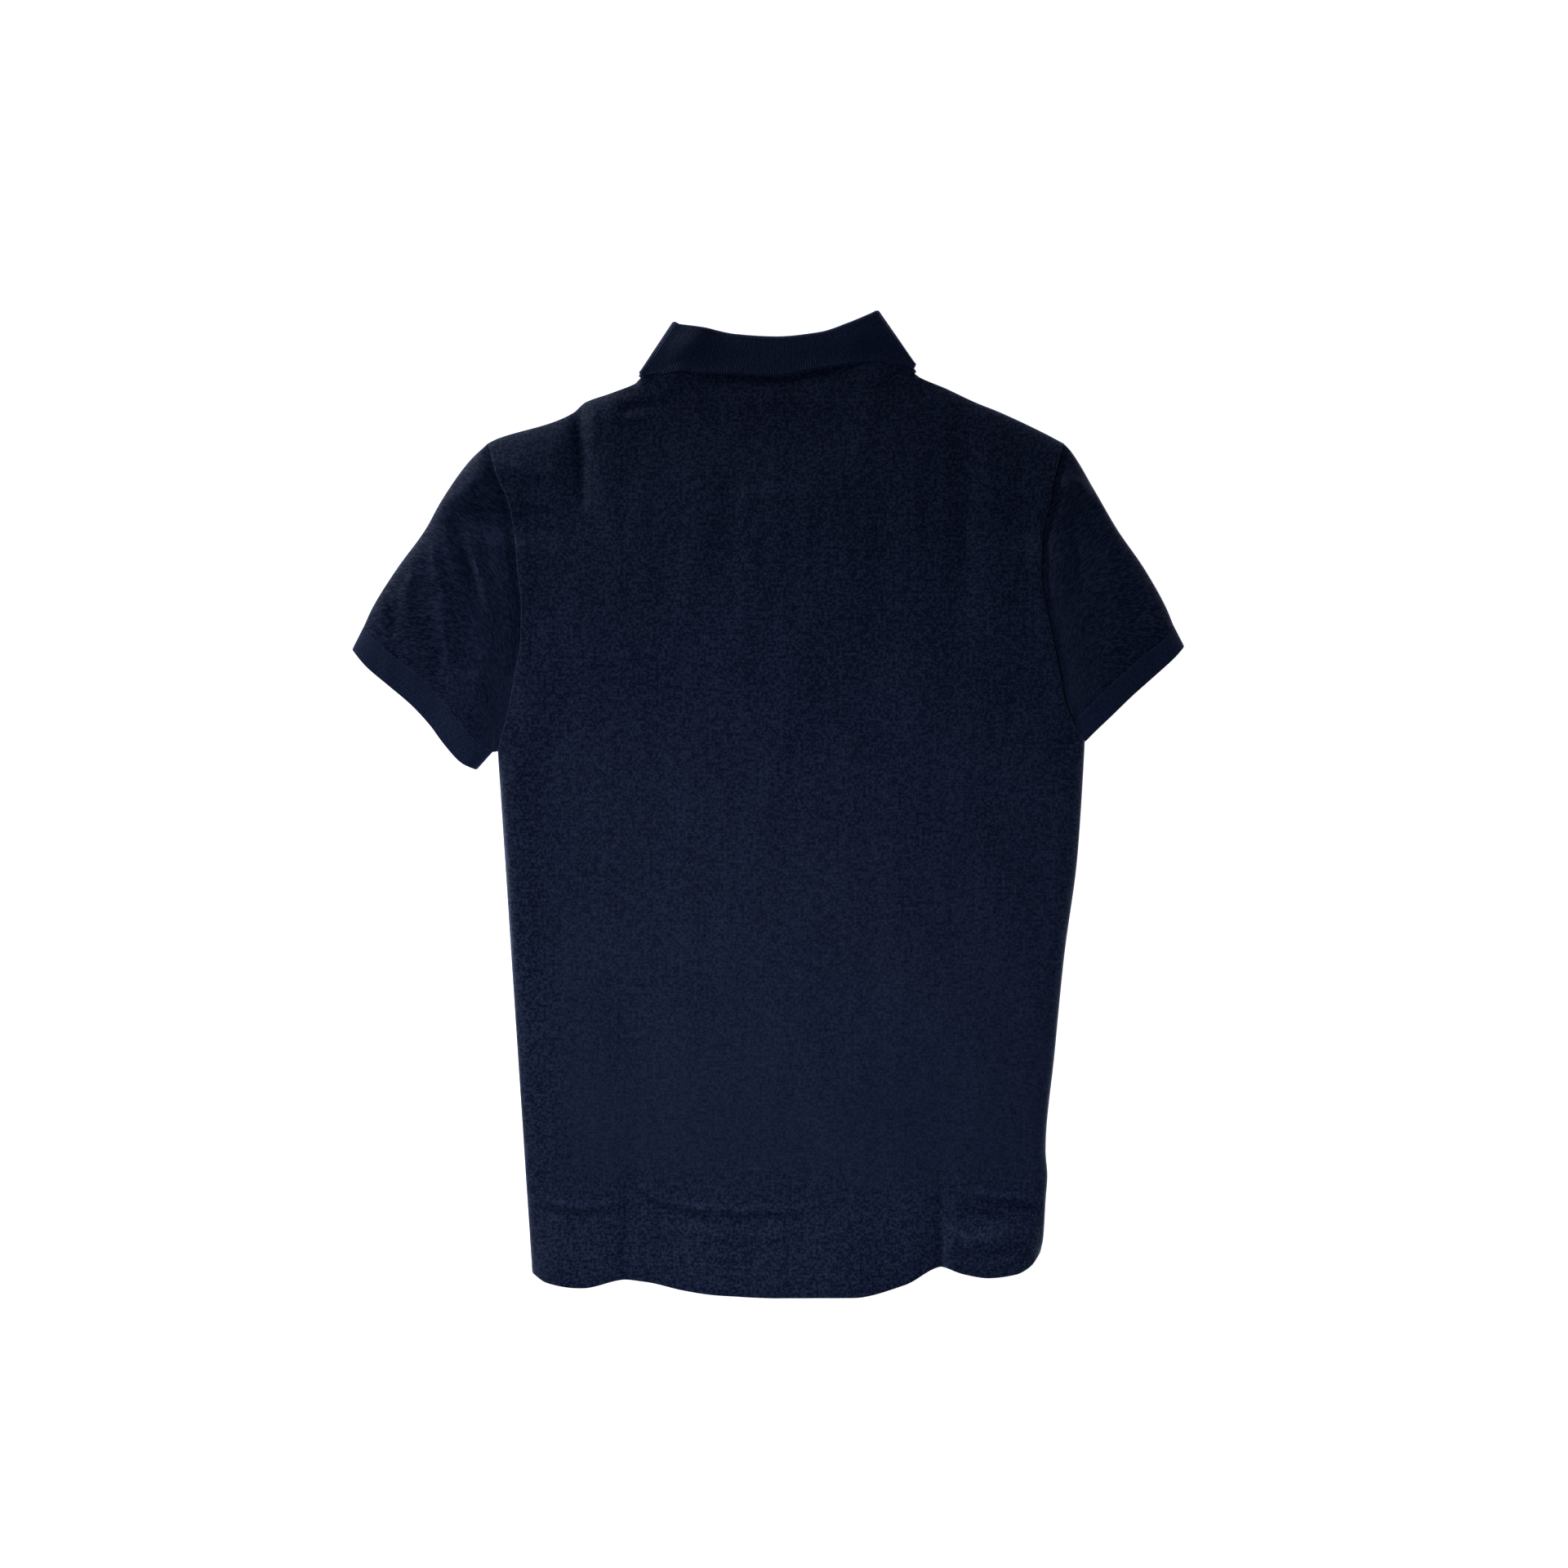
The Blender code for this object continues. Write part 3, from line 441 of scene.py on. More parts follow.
    def armhole(self, side: Side, y: Array) -> Array:
        """x of an armhole at some heights."""
        return read(self.armholes, side.word, y)

    def top_y(self, x: Array, layer: Layer) -> Array:
        """Height of a panel's top edge: shoulder, neckline, shoulder.

        Args:
            x: Places across the shirt.
            layer: Panel.

        Returns:
            One height for each place.
        """
        rows = self.collar_back
        if layer is Layer.FRONT:
            rows = self.collar_front_left[:-1] + self.collar_front_right
        low, high = self.neck_x
        neck = read(rows, "seam_y", x, by="seam_x")
        left = read(self.left_shoulder, "y", x, by="x")
        right = read(self.right_shoulder, "y", x, by="x")
        return np.where(x <= low, left, np.where(x >= high, right, neck))


@dataclass(frozen=True)
class Knits:
    """Thickness of the knits, and how close two sewn or stacked cloths lie."""

    pique: float = 1.2
    sleeve_rib: float = 1.6
    collar_rib: float = 2.0
    seam: float = 0.3
    contact: float = 0.05


@dataclass(frozen=True)
class Creases:
    """Soft lines and slow waves in the cloth."""

    large: tuple[Crease, ...] = creases(
        (13, 2, (-186, 24), (-179, -60), (-174, -140)), (22, -2.8, (-161, 34), (-154, -60), (-150, -150)),
        (18, 1.6, (-152, -190), (-150, -270), (-147, -345)), (34, -2.2, (-114, -180), (-111, -345)),
        (46, -1.7, (102, -200), (106, -345)), (14, -1.6, (-100, -225), (-100, -345)),
        (22, -1.5, (114, -225), (116, -345)), (9, -1.6, (121.8, -266), (122, -340)),
        (19, -3.4, (128, -338), (156, -344), (186, -334)),
        (13, -2.4, (124, -292), (156, -296), (190, -291)),
        (28, -1.6, (-298, 110), (-240, 54), (-206, 22)), (28, -1.6, (298, 112), (259, 76), (224, 42)),
        (17, -2.4, (-137, 286), (-134, 196)), (16, -1.8, (140, 290), (140, 142)),
        (14, -1, (-176, 50), (-157, -8)), (18, -3.8, (-222, 203), (-190, 200), (-158, 191)),
        (24, -2.6, (-226, 122), (-232, 70)), (18, 1.6, (-214, 236), (-178, 236)),
        (12, -2, (-219, 190), (-204, 146)), (11, 1.5, (-239, 181), (-230, 130)),
        (12, 1.5, (-234, 136), (-224, 96)), (11, 2.2, (206, 229), (232, 221)),
        (24, -2.6, (150, 200), (190, 196), (226, 190)), (16, 0.9, (-188, 150), (-172, 60)),
        (26, -4.4, (-180, 132), (-186, 80), (-194, 34)), (36, -1.6, (-70, 262), (84, 264)),
    )
    fine: tuple[Crease, ...] = creases(
        # Above the hem: three folds that hang over a dark line.
        (4.4, 2, (-168, -279.5), (-150, -284.6), (-132, -287), (-112, -286.6)),
        (3.8, -1.8, (-169, -285.4), (-152, -290.8), (-134, -292.8), (-112, -292)),
        (4.6, 2, (-94, -271), (-75.5, -282.6), (-49, -287.6), (-17, -289.4), (22, -288.4)),
        (3.8, -1.8, (-91, -279), (-73.5, -288.6), (-48, -293.6), (-16, -295.3), (24, -294)),
        (9, 1.1, (-86, -302), (-40, -306.5), (20, -307)),
        (4.2, 1.6, (147, -277), (168, -279.6), (189, -282)),
        (3.6, -1.6, (149, -282.6), (168, -285.8), (189, -288.4)),
        (10, 3, (128, -308), (152, -311), (178, -308)),
        (4.5, -1.4, (126, -321), (150, -323.6), (178, -319)),
        # The two valleys of the hem, each with a sharper flank.
        (7, -1.6, (-98.6, -238), (-98, -290), (-99.5, -342)),
        (9, 1.6, (-88, -262), (-87, -300), (-86, -338)), (3.6, -2.2, (123, -274), (123, -338)),
        (9, 0.8, (106, -272), (106, -338)), (7, 2.4, (130.4, -284), (130.8, -336)),
        (6.5, 0.6, (5.6, -236), (6, -350)), (3.2, -0.8, (-3.6, -288), (-4, -308)),
        (3.4, -1, (15.4, -322), (16, -347)), (4, -0.4, (-70, -330), (-20, -334)),
        (4, 0.45, (-66, -317), (-10, -321)),
        # Under the left shoulder: one deep groove from the collar's end down.
        (6, -3, (-136, 281), (-133.6, 252), (-131.5, 214)), (7, 0.7, (-143, 276), (-141.6, 240)),
        (8, 1.6, (-124.6, 284), (-123, 256)),
        # Under the collar's two ends.
        (4, -2.1, (-104, 279), (-88, 282.2), (-72, 284)), (4.6, 1.1, (-112, 285), (-90, 289), (-72, 291)),
        (4.6, 1.1, (-112, 276), (-98, 273.4), (-84, 276)), (5, 0.6, (-60, 290), (-40, 284)),
        (4.6, 1.9, (79, 302.5), (90.8, 306), (97, 299.5), (106, 289)),
        (5, -1.5, (84, 296), (92, 291), (98, 282)), (5, 1.1, (108.8, 282.5), (115.7, 284.5)),
        (6, 0.6, (112, 296), (126, 282), (131, 262)),
        # Drag lines that run in from the armpits.
        (4.5, -0.7, (-176.6, 50.5), (-157.5, -7.5)), (6, 0.6, (-183, 28), (-171, -22)),
        (8, -0.7, (212, 44), (190, 12)), (7, 0.5, (205, 66), (176, 50)), (7, 0.5, (-170, 84), (-146, 62)),
        # The front's neckline, felt through the back.
        (5, 0.5, (-68, 266.8), (-48, 238), (-34.5, 225.6)),
        (5, 0.5, (68.7, 254.6), (60, 244), (54.2, 237.8)),
        # Left shoulder: shallow creases that fan out from the sleeve's head.
        (6, 0.7, (-190, 240), (-170, 234), (-150, 236)), (5, -0.9, (-192, 222), (-170, 208), (-152, 206)),
        (6, 0.5, (-176, 202), (-160, 192), (-150, 176)),
        # Left sleeve: creases from the sleeve's head down to its band.
        (5.5, -2.7, (-224, 200), (-213, 172), (-204, 146)),
        (2.8, 2.4, (-239.6, 181), (-235.6, 168), (-231, 155)), (3.4, -1.4, (-243.6, 178), (-238.6, 162)),
        (5, -1.8, (-203, 190), (-197.6, 168), (-190, 141)),
        (4.5, 2, (-212, 186), (-204, 160), (-197, 132)),
        (4.5, 1.8, (-229, 188), (-222, 166), (-214, 142)), (7, -2.2, (-267.7, 138.9), (-264, 122.6)),
        (5, 1.8, (-258, 150), (-255, 128)), (7, -2.7, (-241.7, 126), (-233.5, 106.4), (-238, 88.5)),
        (5, 2.4, (-230.8, 138), (-225.4, 104)), (6, 1.3, (-222, 92), (-204, 84)),
        (5, -1.3, (-214.6, 128), (-208, 98)), (5, 1, (-252, 166), (-256, 150)),
        (5, 1.1, (-200, 116), (-205, 90), (-212, 62)), (6, 0.8, (-204, 232), (-226, 214)),
        # Right sleeve.
        (5, 0.9, (205, 230.5), (228, 225.9)), (7, -1, (208, 217), (234, 206)),
        (8, -0.8, (218, 190), (226, 150)), (8, 0.8, (238, 178), (246, 138)),
        (7, 0.7, (214, 120), (228, 88)), (6, -0.7, (256, 150), (262, 120)),
        (6, 0.5, (206, 176), (212, 140)),
        # Shallow waves across the body.
        (17, 0.4, (-140, 150), (-120, 20), (-126, -120)), (15, -0.4, (-76, 120), (-82, -60), (-66, -210)),
        (13, 0.38, (-28, 40), (-30, -120), (-20, -230)), (14, -0.38, (52, 30), (46, -110), (58, -240)),
        (15, 0.4, (94, 150), (86, -10), (92, -190)), (14, -0.4, (150, 80), (146, -80), (156, -220)),
    )
    waves: int = 26
    wave_height: float = 0.11
    short_wave: float = 14.0
    long_wave: float = 60.0
    stretch_up: float = 3.4
    end_share: float = 0.4
    seed: int = 11

    def lines(self, rows: Sequence[Crease], x: Array, y: Array) -> Array:
        """Rise of the cloth in some creases.

        Args:
            rows: The creases.
            x: x of the places.
            y: y of the places.

        Returns:
            One rise for each place.
        """
        total = np.zeros(np.shape(x))
        for row in rows:
            distance, share = to_line(x, y, row.points)
            taper = blend(self.end_share, 1.0, np.sin(share * math.pi))
            total = total + row.height * taper * bump(distance, row.half_width)
        return total

    def slow_waves(self, x: Array, y: Array) -> Array:
        """Uneven waves, long up the shirt and short across it.

        Args:
            x: x of the places.
            y: y of the places.

        Returns:
            One rise for each place.
        """
        draw = np.random.default_rng(self.seed)
        total = np.zeros(np.shape(x))
        for _ in range(self.waves):
            length = draw.uniform(self.short_wave, self.long_wave)
            lean = draw.uniform(-1.0, 1.0)
            phase = draw.uniform(0.0, 2 * math.pi)
            turns = x / length + lean * y / (length * self.stretch_up)
            total = total + np.cos(turns * 2 * math.pi + phase) * length / self.long_wave
        return total * self.wave_height


@dataclass(frozen=True)
class Layers:
    """Heights of the layers that lie on each other."""

    cut: ShirtCut = ShirtCut()
    knits: Knits = Knits()
    creases: Creases = Creases()
    loft: tuple[Loft, ...] = rows_of(
        Loft, (-350, 5), (-240, 5.4), (-100, 4.8), (50, 4.8), (150, 5), (240, 4.8), (320, 2.4),
    )
    least_air: float = 0.3
    puffs: tuple[Puff, ...] = rows_of(
        Puff, (-140, 38.3, 6.2, 66), (10, 113.2, 7, 66), (158, 34.8, 6.6, 52),
    )
    puff_fullness: float = 0.7
    fold_rolls: Pair = (20.0, 14.0)
    turn_height: float = 5.0
    stand_radius: float = 1.5
    leaf_radius: float = 4.0
    back_sag: float = 3.0
    end_lift: float = 2.2
    end_lift_width: float = 27.0
    leaf_margin: float = 12.0
    leaf_ramp: float = 25.0
    placket_lift: float = 2.5
    placket_margin: float = 4.0
    placket_ramp: float = 16.0
    plies_ramp: float = 10.0
    bridged: float = 0.9
    placket_step: float = 0.7
    placket_step_width: float = 5.0

    def front_lift(self, x: Array, y: Array) -> Array:
        """Height of the front's outer face above the ground.

        Args:
            x: x of the places.
            y: y of the places.

        Returns:
            One height for each place.
        """
        rows = (self.cut.collar_front_left, self.cut.collar_front_right)
        to_leaf = np.minimum(*(outside(x, y, self.cut.leaf_outline(leaf)) for leaf in rows))
        to_placket = outside(x, y, self.cut.placket_outline)
        leaf_lift = self.turn_height - self.stand_radius - self.knits.pique / 2
        over_leaf = leaf_lift * fade(to_leaf - self.leaf_margin, self.leaf_ramp)
        over_placket = fade(to_placket - self.placket_margin, self.placket_ramp)
        return np.maximum(over_leaf, self.placket_lift * over_placket)

    def front_stack(self, x: Array, y: Array) -> Array:
        """Height of the top of what the back panel lies on.

        Args:
            x: x of the places.
            y: y of the places.

        Returns:
            One height for each place.
        """
        to_placket = outside(x, y, self.cut.placket_outline)
        over_placket = fade(to_placket - self.placket_margin, self.plies_ramp)
        ply_height = self.knits.pique + self.knits.seam
        return self.front_lift(x, y) + self.knits.pique + ply_height * over_placket

    def puff_rise(self, x: Array, y: Array) -> Array:
        """Rise of the cloth in the puffs along the hem.

        Args:
            x: x of the places.
            y: y of the places.

        Returns:
            One rise for each place.
        """
        above_hem = y - self.cut.hem_y(x)
        total = np.zeros(np.shape(x))
        for puff in self.puffs:
            across = np.minimum(np.abs(x - puff.x) / puff.half_width, 1.0)
            hump = np.cos(across * math.pi / 2) ** self.puff_fullness
            total = total + puff.height * hump * fade(above_hem, puff.reach)
        return total

    def cloth_top(self, x: Array, y: Array) -> Array:
        """Height of the top face of the shirt away from its edges.

        Args:
            x: x of the places.
            y: y of the places.

        Returns:
            One height for each place.
        """
        air = read(self.loft, "air", y) + self.puff_rise(x, y)
        air = air + self.creases.lines(self.creases.large, x, y)
        stack = self.front_stack(x, y)
        air = air - self.bridged * (stack - self.knits.pique)
        air = np.maximum(air, self.least_air)
        relief = self.creases.lines(self.creases.fine, x, y) + self.creases.slow_waves(x, y)
        to_placket = outside(x, y, self.cut.placket_outline)
        relief = relief + self.placket_step * fade(to_placket, self.placket_step_width)
        air = np.maximum(air + relief, self.least_air)
        return stack + self.knits.seam + air + self.knits.pique

    def collar_centre(self, x: Array) -> Array:
        """Height of the middle of the back collar's layers, which sags between the neck points.

        Args:
            x: Places across the shirt.

        Returns:
            One height for each place.
        """
        low, high = self.cut.neck_x
        share = np.clip((x - low) / (high - low), 0.0, 1.0)
        from_end = np.minimum(x - low, high - x) - self.end_lift_width
        lift = self.end_lift * bump(from_end, self.end_lift_width)
        return self.turn_height + lift - self.back_sag * np.sin(share * math.pi) ** 2


# ---- meshes


@dataclass
class ClothWall:
    """Closed wall of cloth between an outer and an inner grid of points.

    grain holds the place of each point on the flat cloth; a grid that wraps has one more column
    of it. kept tells which cells are filled. Edges sharper than crisp, in degrees, stay sharp.
    """

    outer: Array
    inner: Array
    grain: Array
    wraps: bool = False
    kept: Array | None = None
    crisp: float = 50.0

    def cells(self) -> tuple[Array, Array]:
        """Corners of the outer faces.

        Returns:
            The point numbers and the places on the flat cloth, four for each face.
        """
        rows, columns = self.outer.shape[:2]
        number = np.arange(rows * columns).reshape(rows, columns)
        if self.wraps:
            number = np.concatenate([number, number[:, :1]], axis=1)
        ring = [np.s_[:-1, :-1], np.s_[:-1, 1:], np.s_[1:, 1:], np.s_[1:, :-1]]
        faces = np.stack([number[part] for part in ring], axis=-1)
        places = np.stack([self.grain[part] for part in ring], axis=-2)
        chosen = np.ones(faces.shape[:2], bool) if self.kept is None else self.kept
        return faces[chosen], places[chosen]

    def rims(self, faces: Array, places: Array) -> tuple[Array, Array]:
        """Faces along every open edge, from the outer to the inner grid.

        Args:
            faces: Point numbers of the outer faces.
            places: Their places on the flat cloth.

        Returns:
            The point numbers and the places on the flat cloth.
        """
        points = self.outer.shape[0] * self.outer.shape[1]
        starts, ends = faces.ravel(), np.roll(faces, -1, axis=1).ravel()
        start_place = places.reshape(-1, 2)
        end_place = np.roll(places, -1, axis=1).reshape(-1, 2)
        open_edge = ~np.isin(starts * points + ends, ends * points + starts)
        starts, ends = starts[open_edge], ends[open_edge]
        rim = np.stack([ends, starts, starts + points, ends + points], axis=-1)
        near, far = start_place[open_edge], end_place[open_edge]
        return rim, np.stack([far, near, near, far], axis=1)

    def mesh(self, name: str) -> bpy.types.Mesh:
        """Build the closed mesh.

        Args:
            name: Name of the mesh.

        Returns:
            The mesh in metres, smooth but for its sharp edges.
        """
        faces, places = self.cells()
        rims, rim_places = self.rims(faces, places)
        points = self.outer.shape[0] * self.outer.shape[1]
        faces = np.concatenate([faces, faces[:, ::-1] + points, rims])
        places = np.concatenate([places, places[:, ::-1], rim_places])
        corners = np.concatenate([self.outer.reshape(-1, 3), self.inner.reshape(-1, 3)])
        used, numbers = np.unique(faces, return_inverse=True)
        corners, faces = corners[used], numbers.reshape(faces.shape)
        quads = corners[faces]
        cross = np.cross(quads[:, 2] - quads[:, 0], quads[:, 3] - quads[:, 1])
        if np.einsum("ij,ij->", cross, quads.mean(axis=1)) < 0:
            faces, places = faces[:, ::-1], places[:, ::-1]
        made = bpy.data.meshes.new(name)
        made.from_pydata((corners * MM).tolist(), [], faces.tolist())
        grain = made.uv_layers.new(name="grain")
        grain.data.foreach_set("uv", (places.reshape(-1) * MM).astype(np.float32))
        made.shade_smooth()
        made.set_sharp_from_angle(angle=math.radians(self.crisp))
        return made


def ply(middle: Array, normal: Array, thickness: Array | float) -> tuple[Array, Array]:
    """Outer and inner grid of a cloth, from its middle points and their outward unit normals."""
    half = np.asarray(thickness)[..., None] / 2 * normal
    return middle + half, middle - half


def edge_round(
    distance: Array, thickness: float, reach: float = 0.6, least: float = 1 / 6
) -> Array:
    """Share of the full thickness near a rounded edge, within reach times the thickness."""
    return np.maximum(round_rise(distance / (thickness * reach)), least)


def put_in(name: str, data: bpy.types.ID) -> Piece:
    """Put an object into the scene."""
    made = bpy.data.objects.new(name, data)
    bpy.context.scene.collection.objects.link(made)
    return made


def make_object(name: str, mesh: bpy.types.Mesh, material: Material) -> Piece:
    """Put a mesh into the scene with one finish."""
    mesh.materials.append(material)
    return put_in(name, mesh)


def mount_piece(piece: Piece, slot: str, *nodes: str) -> Piece:
    """Ride a piece on the shirt, in place of some plain solids.

    Args:
        piece: The piece.
        slot: Material slot of the record. Not used.
        *nodes: Plain solids that the piece stands for.

    Returns:
        The piece.
    """
    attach(piece, BODY)
    if nodes:
        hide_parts(*nodes)
    triangles = sum(len(face.vertices) - 2 for face in piece.data.polygons)
    LOG.info("%s: %d triangles", piece.name, triangles)
    return piece


def cloth_piece(name: str, wall: ClothWall, finish: Material, slot: str, *nodes: str) -> Piece:
    """Make a wall's mesh into a piece, and ride it on the shirt in place of some plain solids."""
    return mount_piece(make_object(name, wall.mesh(name), finish), slot, *nodes)


# ---- finishes


class NodeSheet:
    """Short hand for building a material's nodes."""

    def __init__(self, name: str) -> None:
        """Start a material with one Principled shader.

        Args:
            name: Name of the material.
        """
        self.material = bpy.data.materials.new(name)
        self.material.use_nodes = True
        self.nodes = self.material.node_tree.nodes
        self.links = self.material.node_tree.links
        self.shader = self.nodes["Principled BSDF"]

    def add(self, kind: str, settings: dict | None = None, **inputs: object) -> bpy.types.Node:
        """Add a node.

        Args:
            kind: Blender's name of the node without ShaderNode.
            settings: Attributes of the node.
            **inputs: Values or sockets for its inputs, with _ for a space.

        Returns:
            The node.
        """
        node = self.nodes.new("ShaderNode" + kind)
        for key, value in (settings or {}).items():
            setattr(node, key, value)
        self.fill(node, **inputs)
        return node

    def feed(self, socket: Socket, value: object) -> None:
        """Link a socket to another, or set its value.

        Args:
            socket: The socket.
            value: The other socket, or the value.
        """
        if isinstance(value, Socket):
            self.links.new(value, socket)
        else:
            socket.default_value = value

    def fill(self, node: bpy.types.Node, **inputs: object) -> None:
        """Feed some inputs of a node, with _ for a space in their names."""
        for key, value in inputs.items():
            self.feed(node.inputs[key.replace("_", " ")], value)

    def math(self, operation: str, first: object, second: object = 0.0) -> Socket:
        """Work out two values.

        Args:
            operation: Blender's name of the operation.
            first: First value or socket.
            second: Second value or socket.

        Returns:
            The socket with the result.
        """
        node = self.add("Math", {"operation": operation})
        self.feed(node.inputs[0], first)
        self.feed(node.inputs[1], second)
        return node.outputs[0]

    def span(self, value: Socket, low: float, high: float, start: float, end: float) -> Socket:
        """Carry a value from the range low to high into start to end, and keep it inside."""
        ranges = {"From_Min": low, "From_Max": high, "To_Min": start, "To_Max": end}
        return self.add("MapRange", Value=value, **ranges).outputs["Result"]

    def weigh(self, parts: Sequence[object], weights: Sequence[float]) -> Socket:
        """Add some sockets up, each times its weight.

        Args:
            parts: The sockets.
            weights: Their weights.

        Returns:
            The socket with the sum.
        """
        total = 0.0
        for part, weight in zip(parts, weights):
            total = self.math("ADD", self.math("MULTIPLY", part, weight), total)
        return total

    def wave(self, phase: Socket) -> Socket:
        """Wave from 0 to 1 of a phase in radians."""
        return self.span(self.math("SINE", phase), -1.0, 1.0, 0.0, 1.0)

    def mix(self, share: object, first: Sequence[float], second: Sequence[float]) -> Socket:
        """Mix two colours.

        Args:
            share: Share of the second colour.
            first: First colour.
            second: Second colour.

        Returns:
            The socket with the mixed colour.
        """
        node = self.add("Mix", {"data_type": "RGBA"})
        for number, value in ((0, share), (6, (*first, 1.0)), (7, (*second, 1.0))):
            self.feed(node.inputs[number], value)
        return node.outputs[2]

    def grain(self, turn: float, across: float, up: float) -> Socket:
        """Place on the flat cloth, turned by degrees and scaled across and up it."""
        place = self.add("UVMap", {"uv_map": "grain"}).outputs["UV"]
        turned, scale = (0.0, 0.0, math.radians(turn)), (across, up, 1.0)
        return self.add("Mapping", Vector=place, Rotation=turned, Scale=scale).outputs["Vector"]

    def noise(self, cloud: Cloud) -> Socket:
        """Cloudy value from 0 to 1 on the flat cloth.

        Args:
            cloud: The turn, the scale and the kind of the patches.

        Returns:
            The socket with the value.
        """
        vector = self.grain(cloud.turn, cloud.across, cloud.up)
        inputs = {"Scale": 1.0, "Detail": cloud.detail, "Roughness": cloud.roughness}
        node = self.add("TexNoise", {"noise_dimensions": "2D"}, Vector=vector, **inputs)
        return node.outputs["Fac"]

    def finish(self, colour: object, roughness: object, height: object, depth: float) -> None:
        """Feed the shader; depth is the depth in metres that a height of 1 stands for."""
        relief = self.add("Bump", Strength=1.0, Distance=depth, Height=height).outputs["Normal"]
        self.fill(self.shader, Base_Color=colour, Roughness=roughness, Normal=relief)


Colour = tuple[float, float, float]
FIBRE = Cloud(0.0, 4200.0, 4200.0, 2.0, 0.6, 0.0)
MOST = (0.3, 0.7)  # Most of a noise lies between these values.


@dataclass(frozen=True)
class PiqueFinish:
    """Navy cotton pique: small raised cells, a heathered grain and a soft nap.

    flecks is the range of the grain that goes from dark to light, cell_shade_and_highlight the
    painted shade between the cells and the painted highlight on them, and relief the weight of
    cells, fibre, grain and mottle in the height.
    glint_stretches are stretches of the flat cloth that paint glints: they widen the grain's
    spread from dark to light towards the top, at the hem's foot and along the left edge, and
    narrow it between them. Each gives an axis, the places where it starts and ends, and the
    strength of the grain at both; the strongest one counts.
    """

    name: str = "pique_knit"
    dark: Colour = (0.0024, 0.0052, 0.0185)
    light: Colour = (0.0160, 0.0240, 0.0545)
    cell: float = 1.45
    cell_depth: float = 0.00016
    flecks: Pair = (0.36, 0.68)
    cell_shade_and_highlight: Pair = (0.55, 1.25)
    rough: Pair = (0.60, 0.46)
    relief: tuple[float, ...] = (0.8, 0.35, 0.95, 1.1)
    grain: Cloud = Cloud(0.0, 1000.0 / 2.1, 1000.0 / 2.1, 3.0, 0.62, 0.0)
    mottle: Cloud = Cloud(30.0, 1000.0 / 5.5, 1000.0 / 5.5, 3.0, 0.6, 0.20)
    courses: Cloud = Cloud(1.5, 60.0, 900.0, 2.0, 0.5, 0.10)
    wales: Cloud = Cloud(0.0, 260.0, 14.0, 2.0, 0.5, 0.04)
    drift: Cloud = Cloud(20.0, 22.0, 16.0, 3.0, 0.55, 0.07)
    mid: float = 0.42
    glint_stretches: tuple[tuple, ...] = (
        ("Y", -0.22, 0.19, 0.55, 1.55),
        ("Y", -0.30, -0.25, 1.40, 0.50),
        ("X", -0.172, -0.135, 1.50, 0.50),
    )
    nap: float = 0.55
    gloss: float = 0.08

    def make(self) -> Material:
        """Build the material.

        Returns:
            The material.
        """
        sheet = NodeSheet(self.name)
        per_cell = 1000.0 / self.cell
        cells = sheet.add(
            "TexVoronoi", {"voronoi_dimensions": "2D", "feature": "F1"},
            Vector=sheet.grain(45.0, per_cell, per_cell), Scale=1.0, Randomness=0.45,
        )
        dome = sheet.span(cells.outputs["Distance"], 0.0, 0.75, 1.0, 0.0)
        speckle = sheet.noise(self.grain)
        bright = sheet.span(speckle, *self.flecks, 0.0, 1.0)
        # Painted shade between the knit's cells and painted highlight on their domes.
        bright = sheet.math("MULTIPLY", bright, sheet.span(dome, 0.0, 1.0, *self.cell_shade_and_highlight))
        clouds = (self.mottle, self.courses, self.wales, self.drift)
        patches = [sheet.noise(cloud) for cloud in clouds]
        for patch, cloud in zip(patches, clouds):
            swing = sheet.span(patch, *MOST, -cloud.swing, cloud.swing)
            bright = sheet.math("ADD", bright, swing)
        # Painted glints: the grain's spread from dark to light, in colour and in the bump, is widened
        # towards the top, at the hem's foot and along the left edge, and narrowed between them.
        place = sheet.add("SeparateXYZ", Vector=sheet.grain(0.0, 1.0, 1.0))
        glint_contrast = 0.0
        for axis, *ends in self.glint_stretches:
            glint_contrast = sheet.math("MAXIMUM", sheet.span(place.outputs[axis], *ends), glint_contrast)
        bright = sheet.math("MULTIPLY", sheet.math("SUBTRACT", bright, self.mid), glint_contrast)
        share = sheet.span(bright, -self.mid, 1.0 - self.mid, 0.0, 1.0)
        colour = sheet.mix(share, self.dark, self.light)
        height = sheet.weigh((dome, sheet.noise(FIBRE), speckle, patches[0]), self.relief)
        height = sheet.math("MULTIPLY", height, glint_contrast)
        sheet.finish(colour, sheet.span(speckle, *MOST, *self.rough), height, self.cell_depth)
        dress_as_cloth(sheet, self.nap, self.gloss)
        return sheet.material


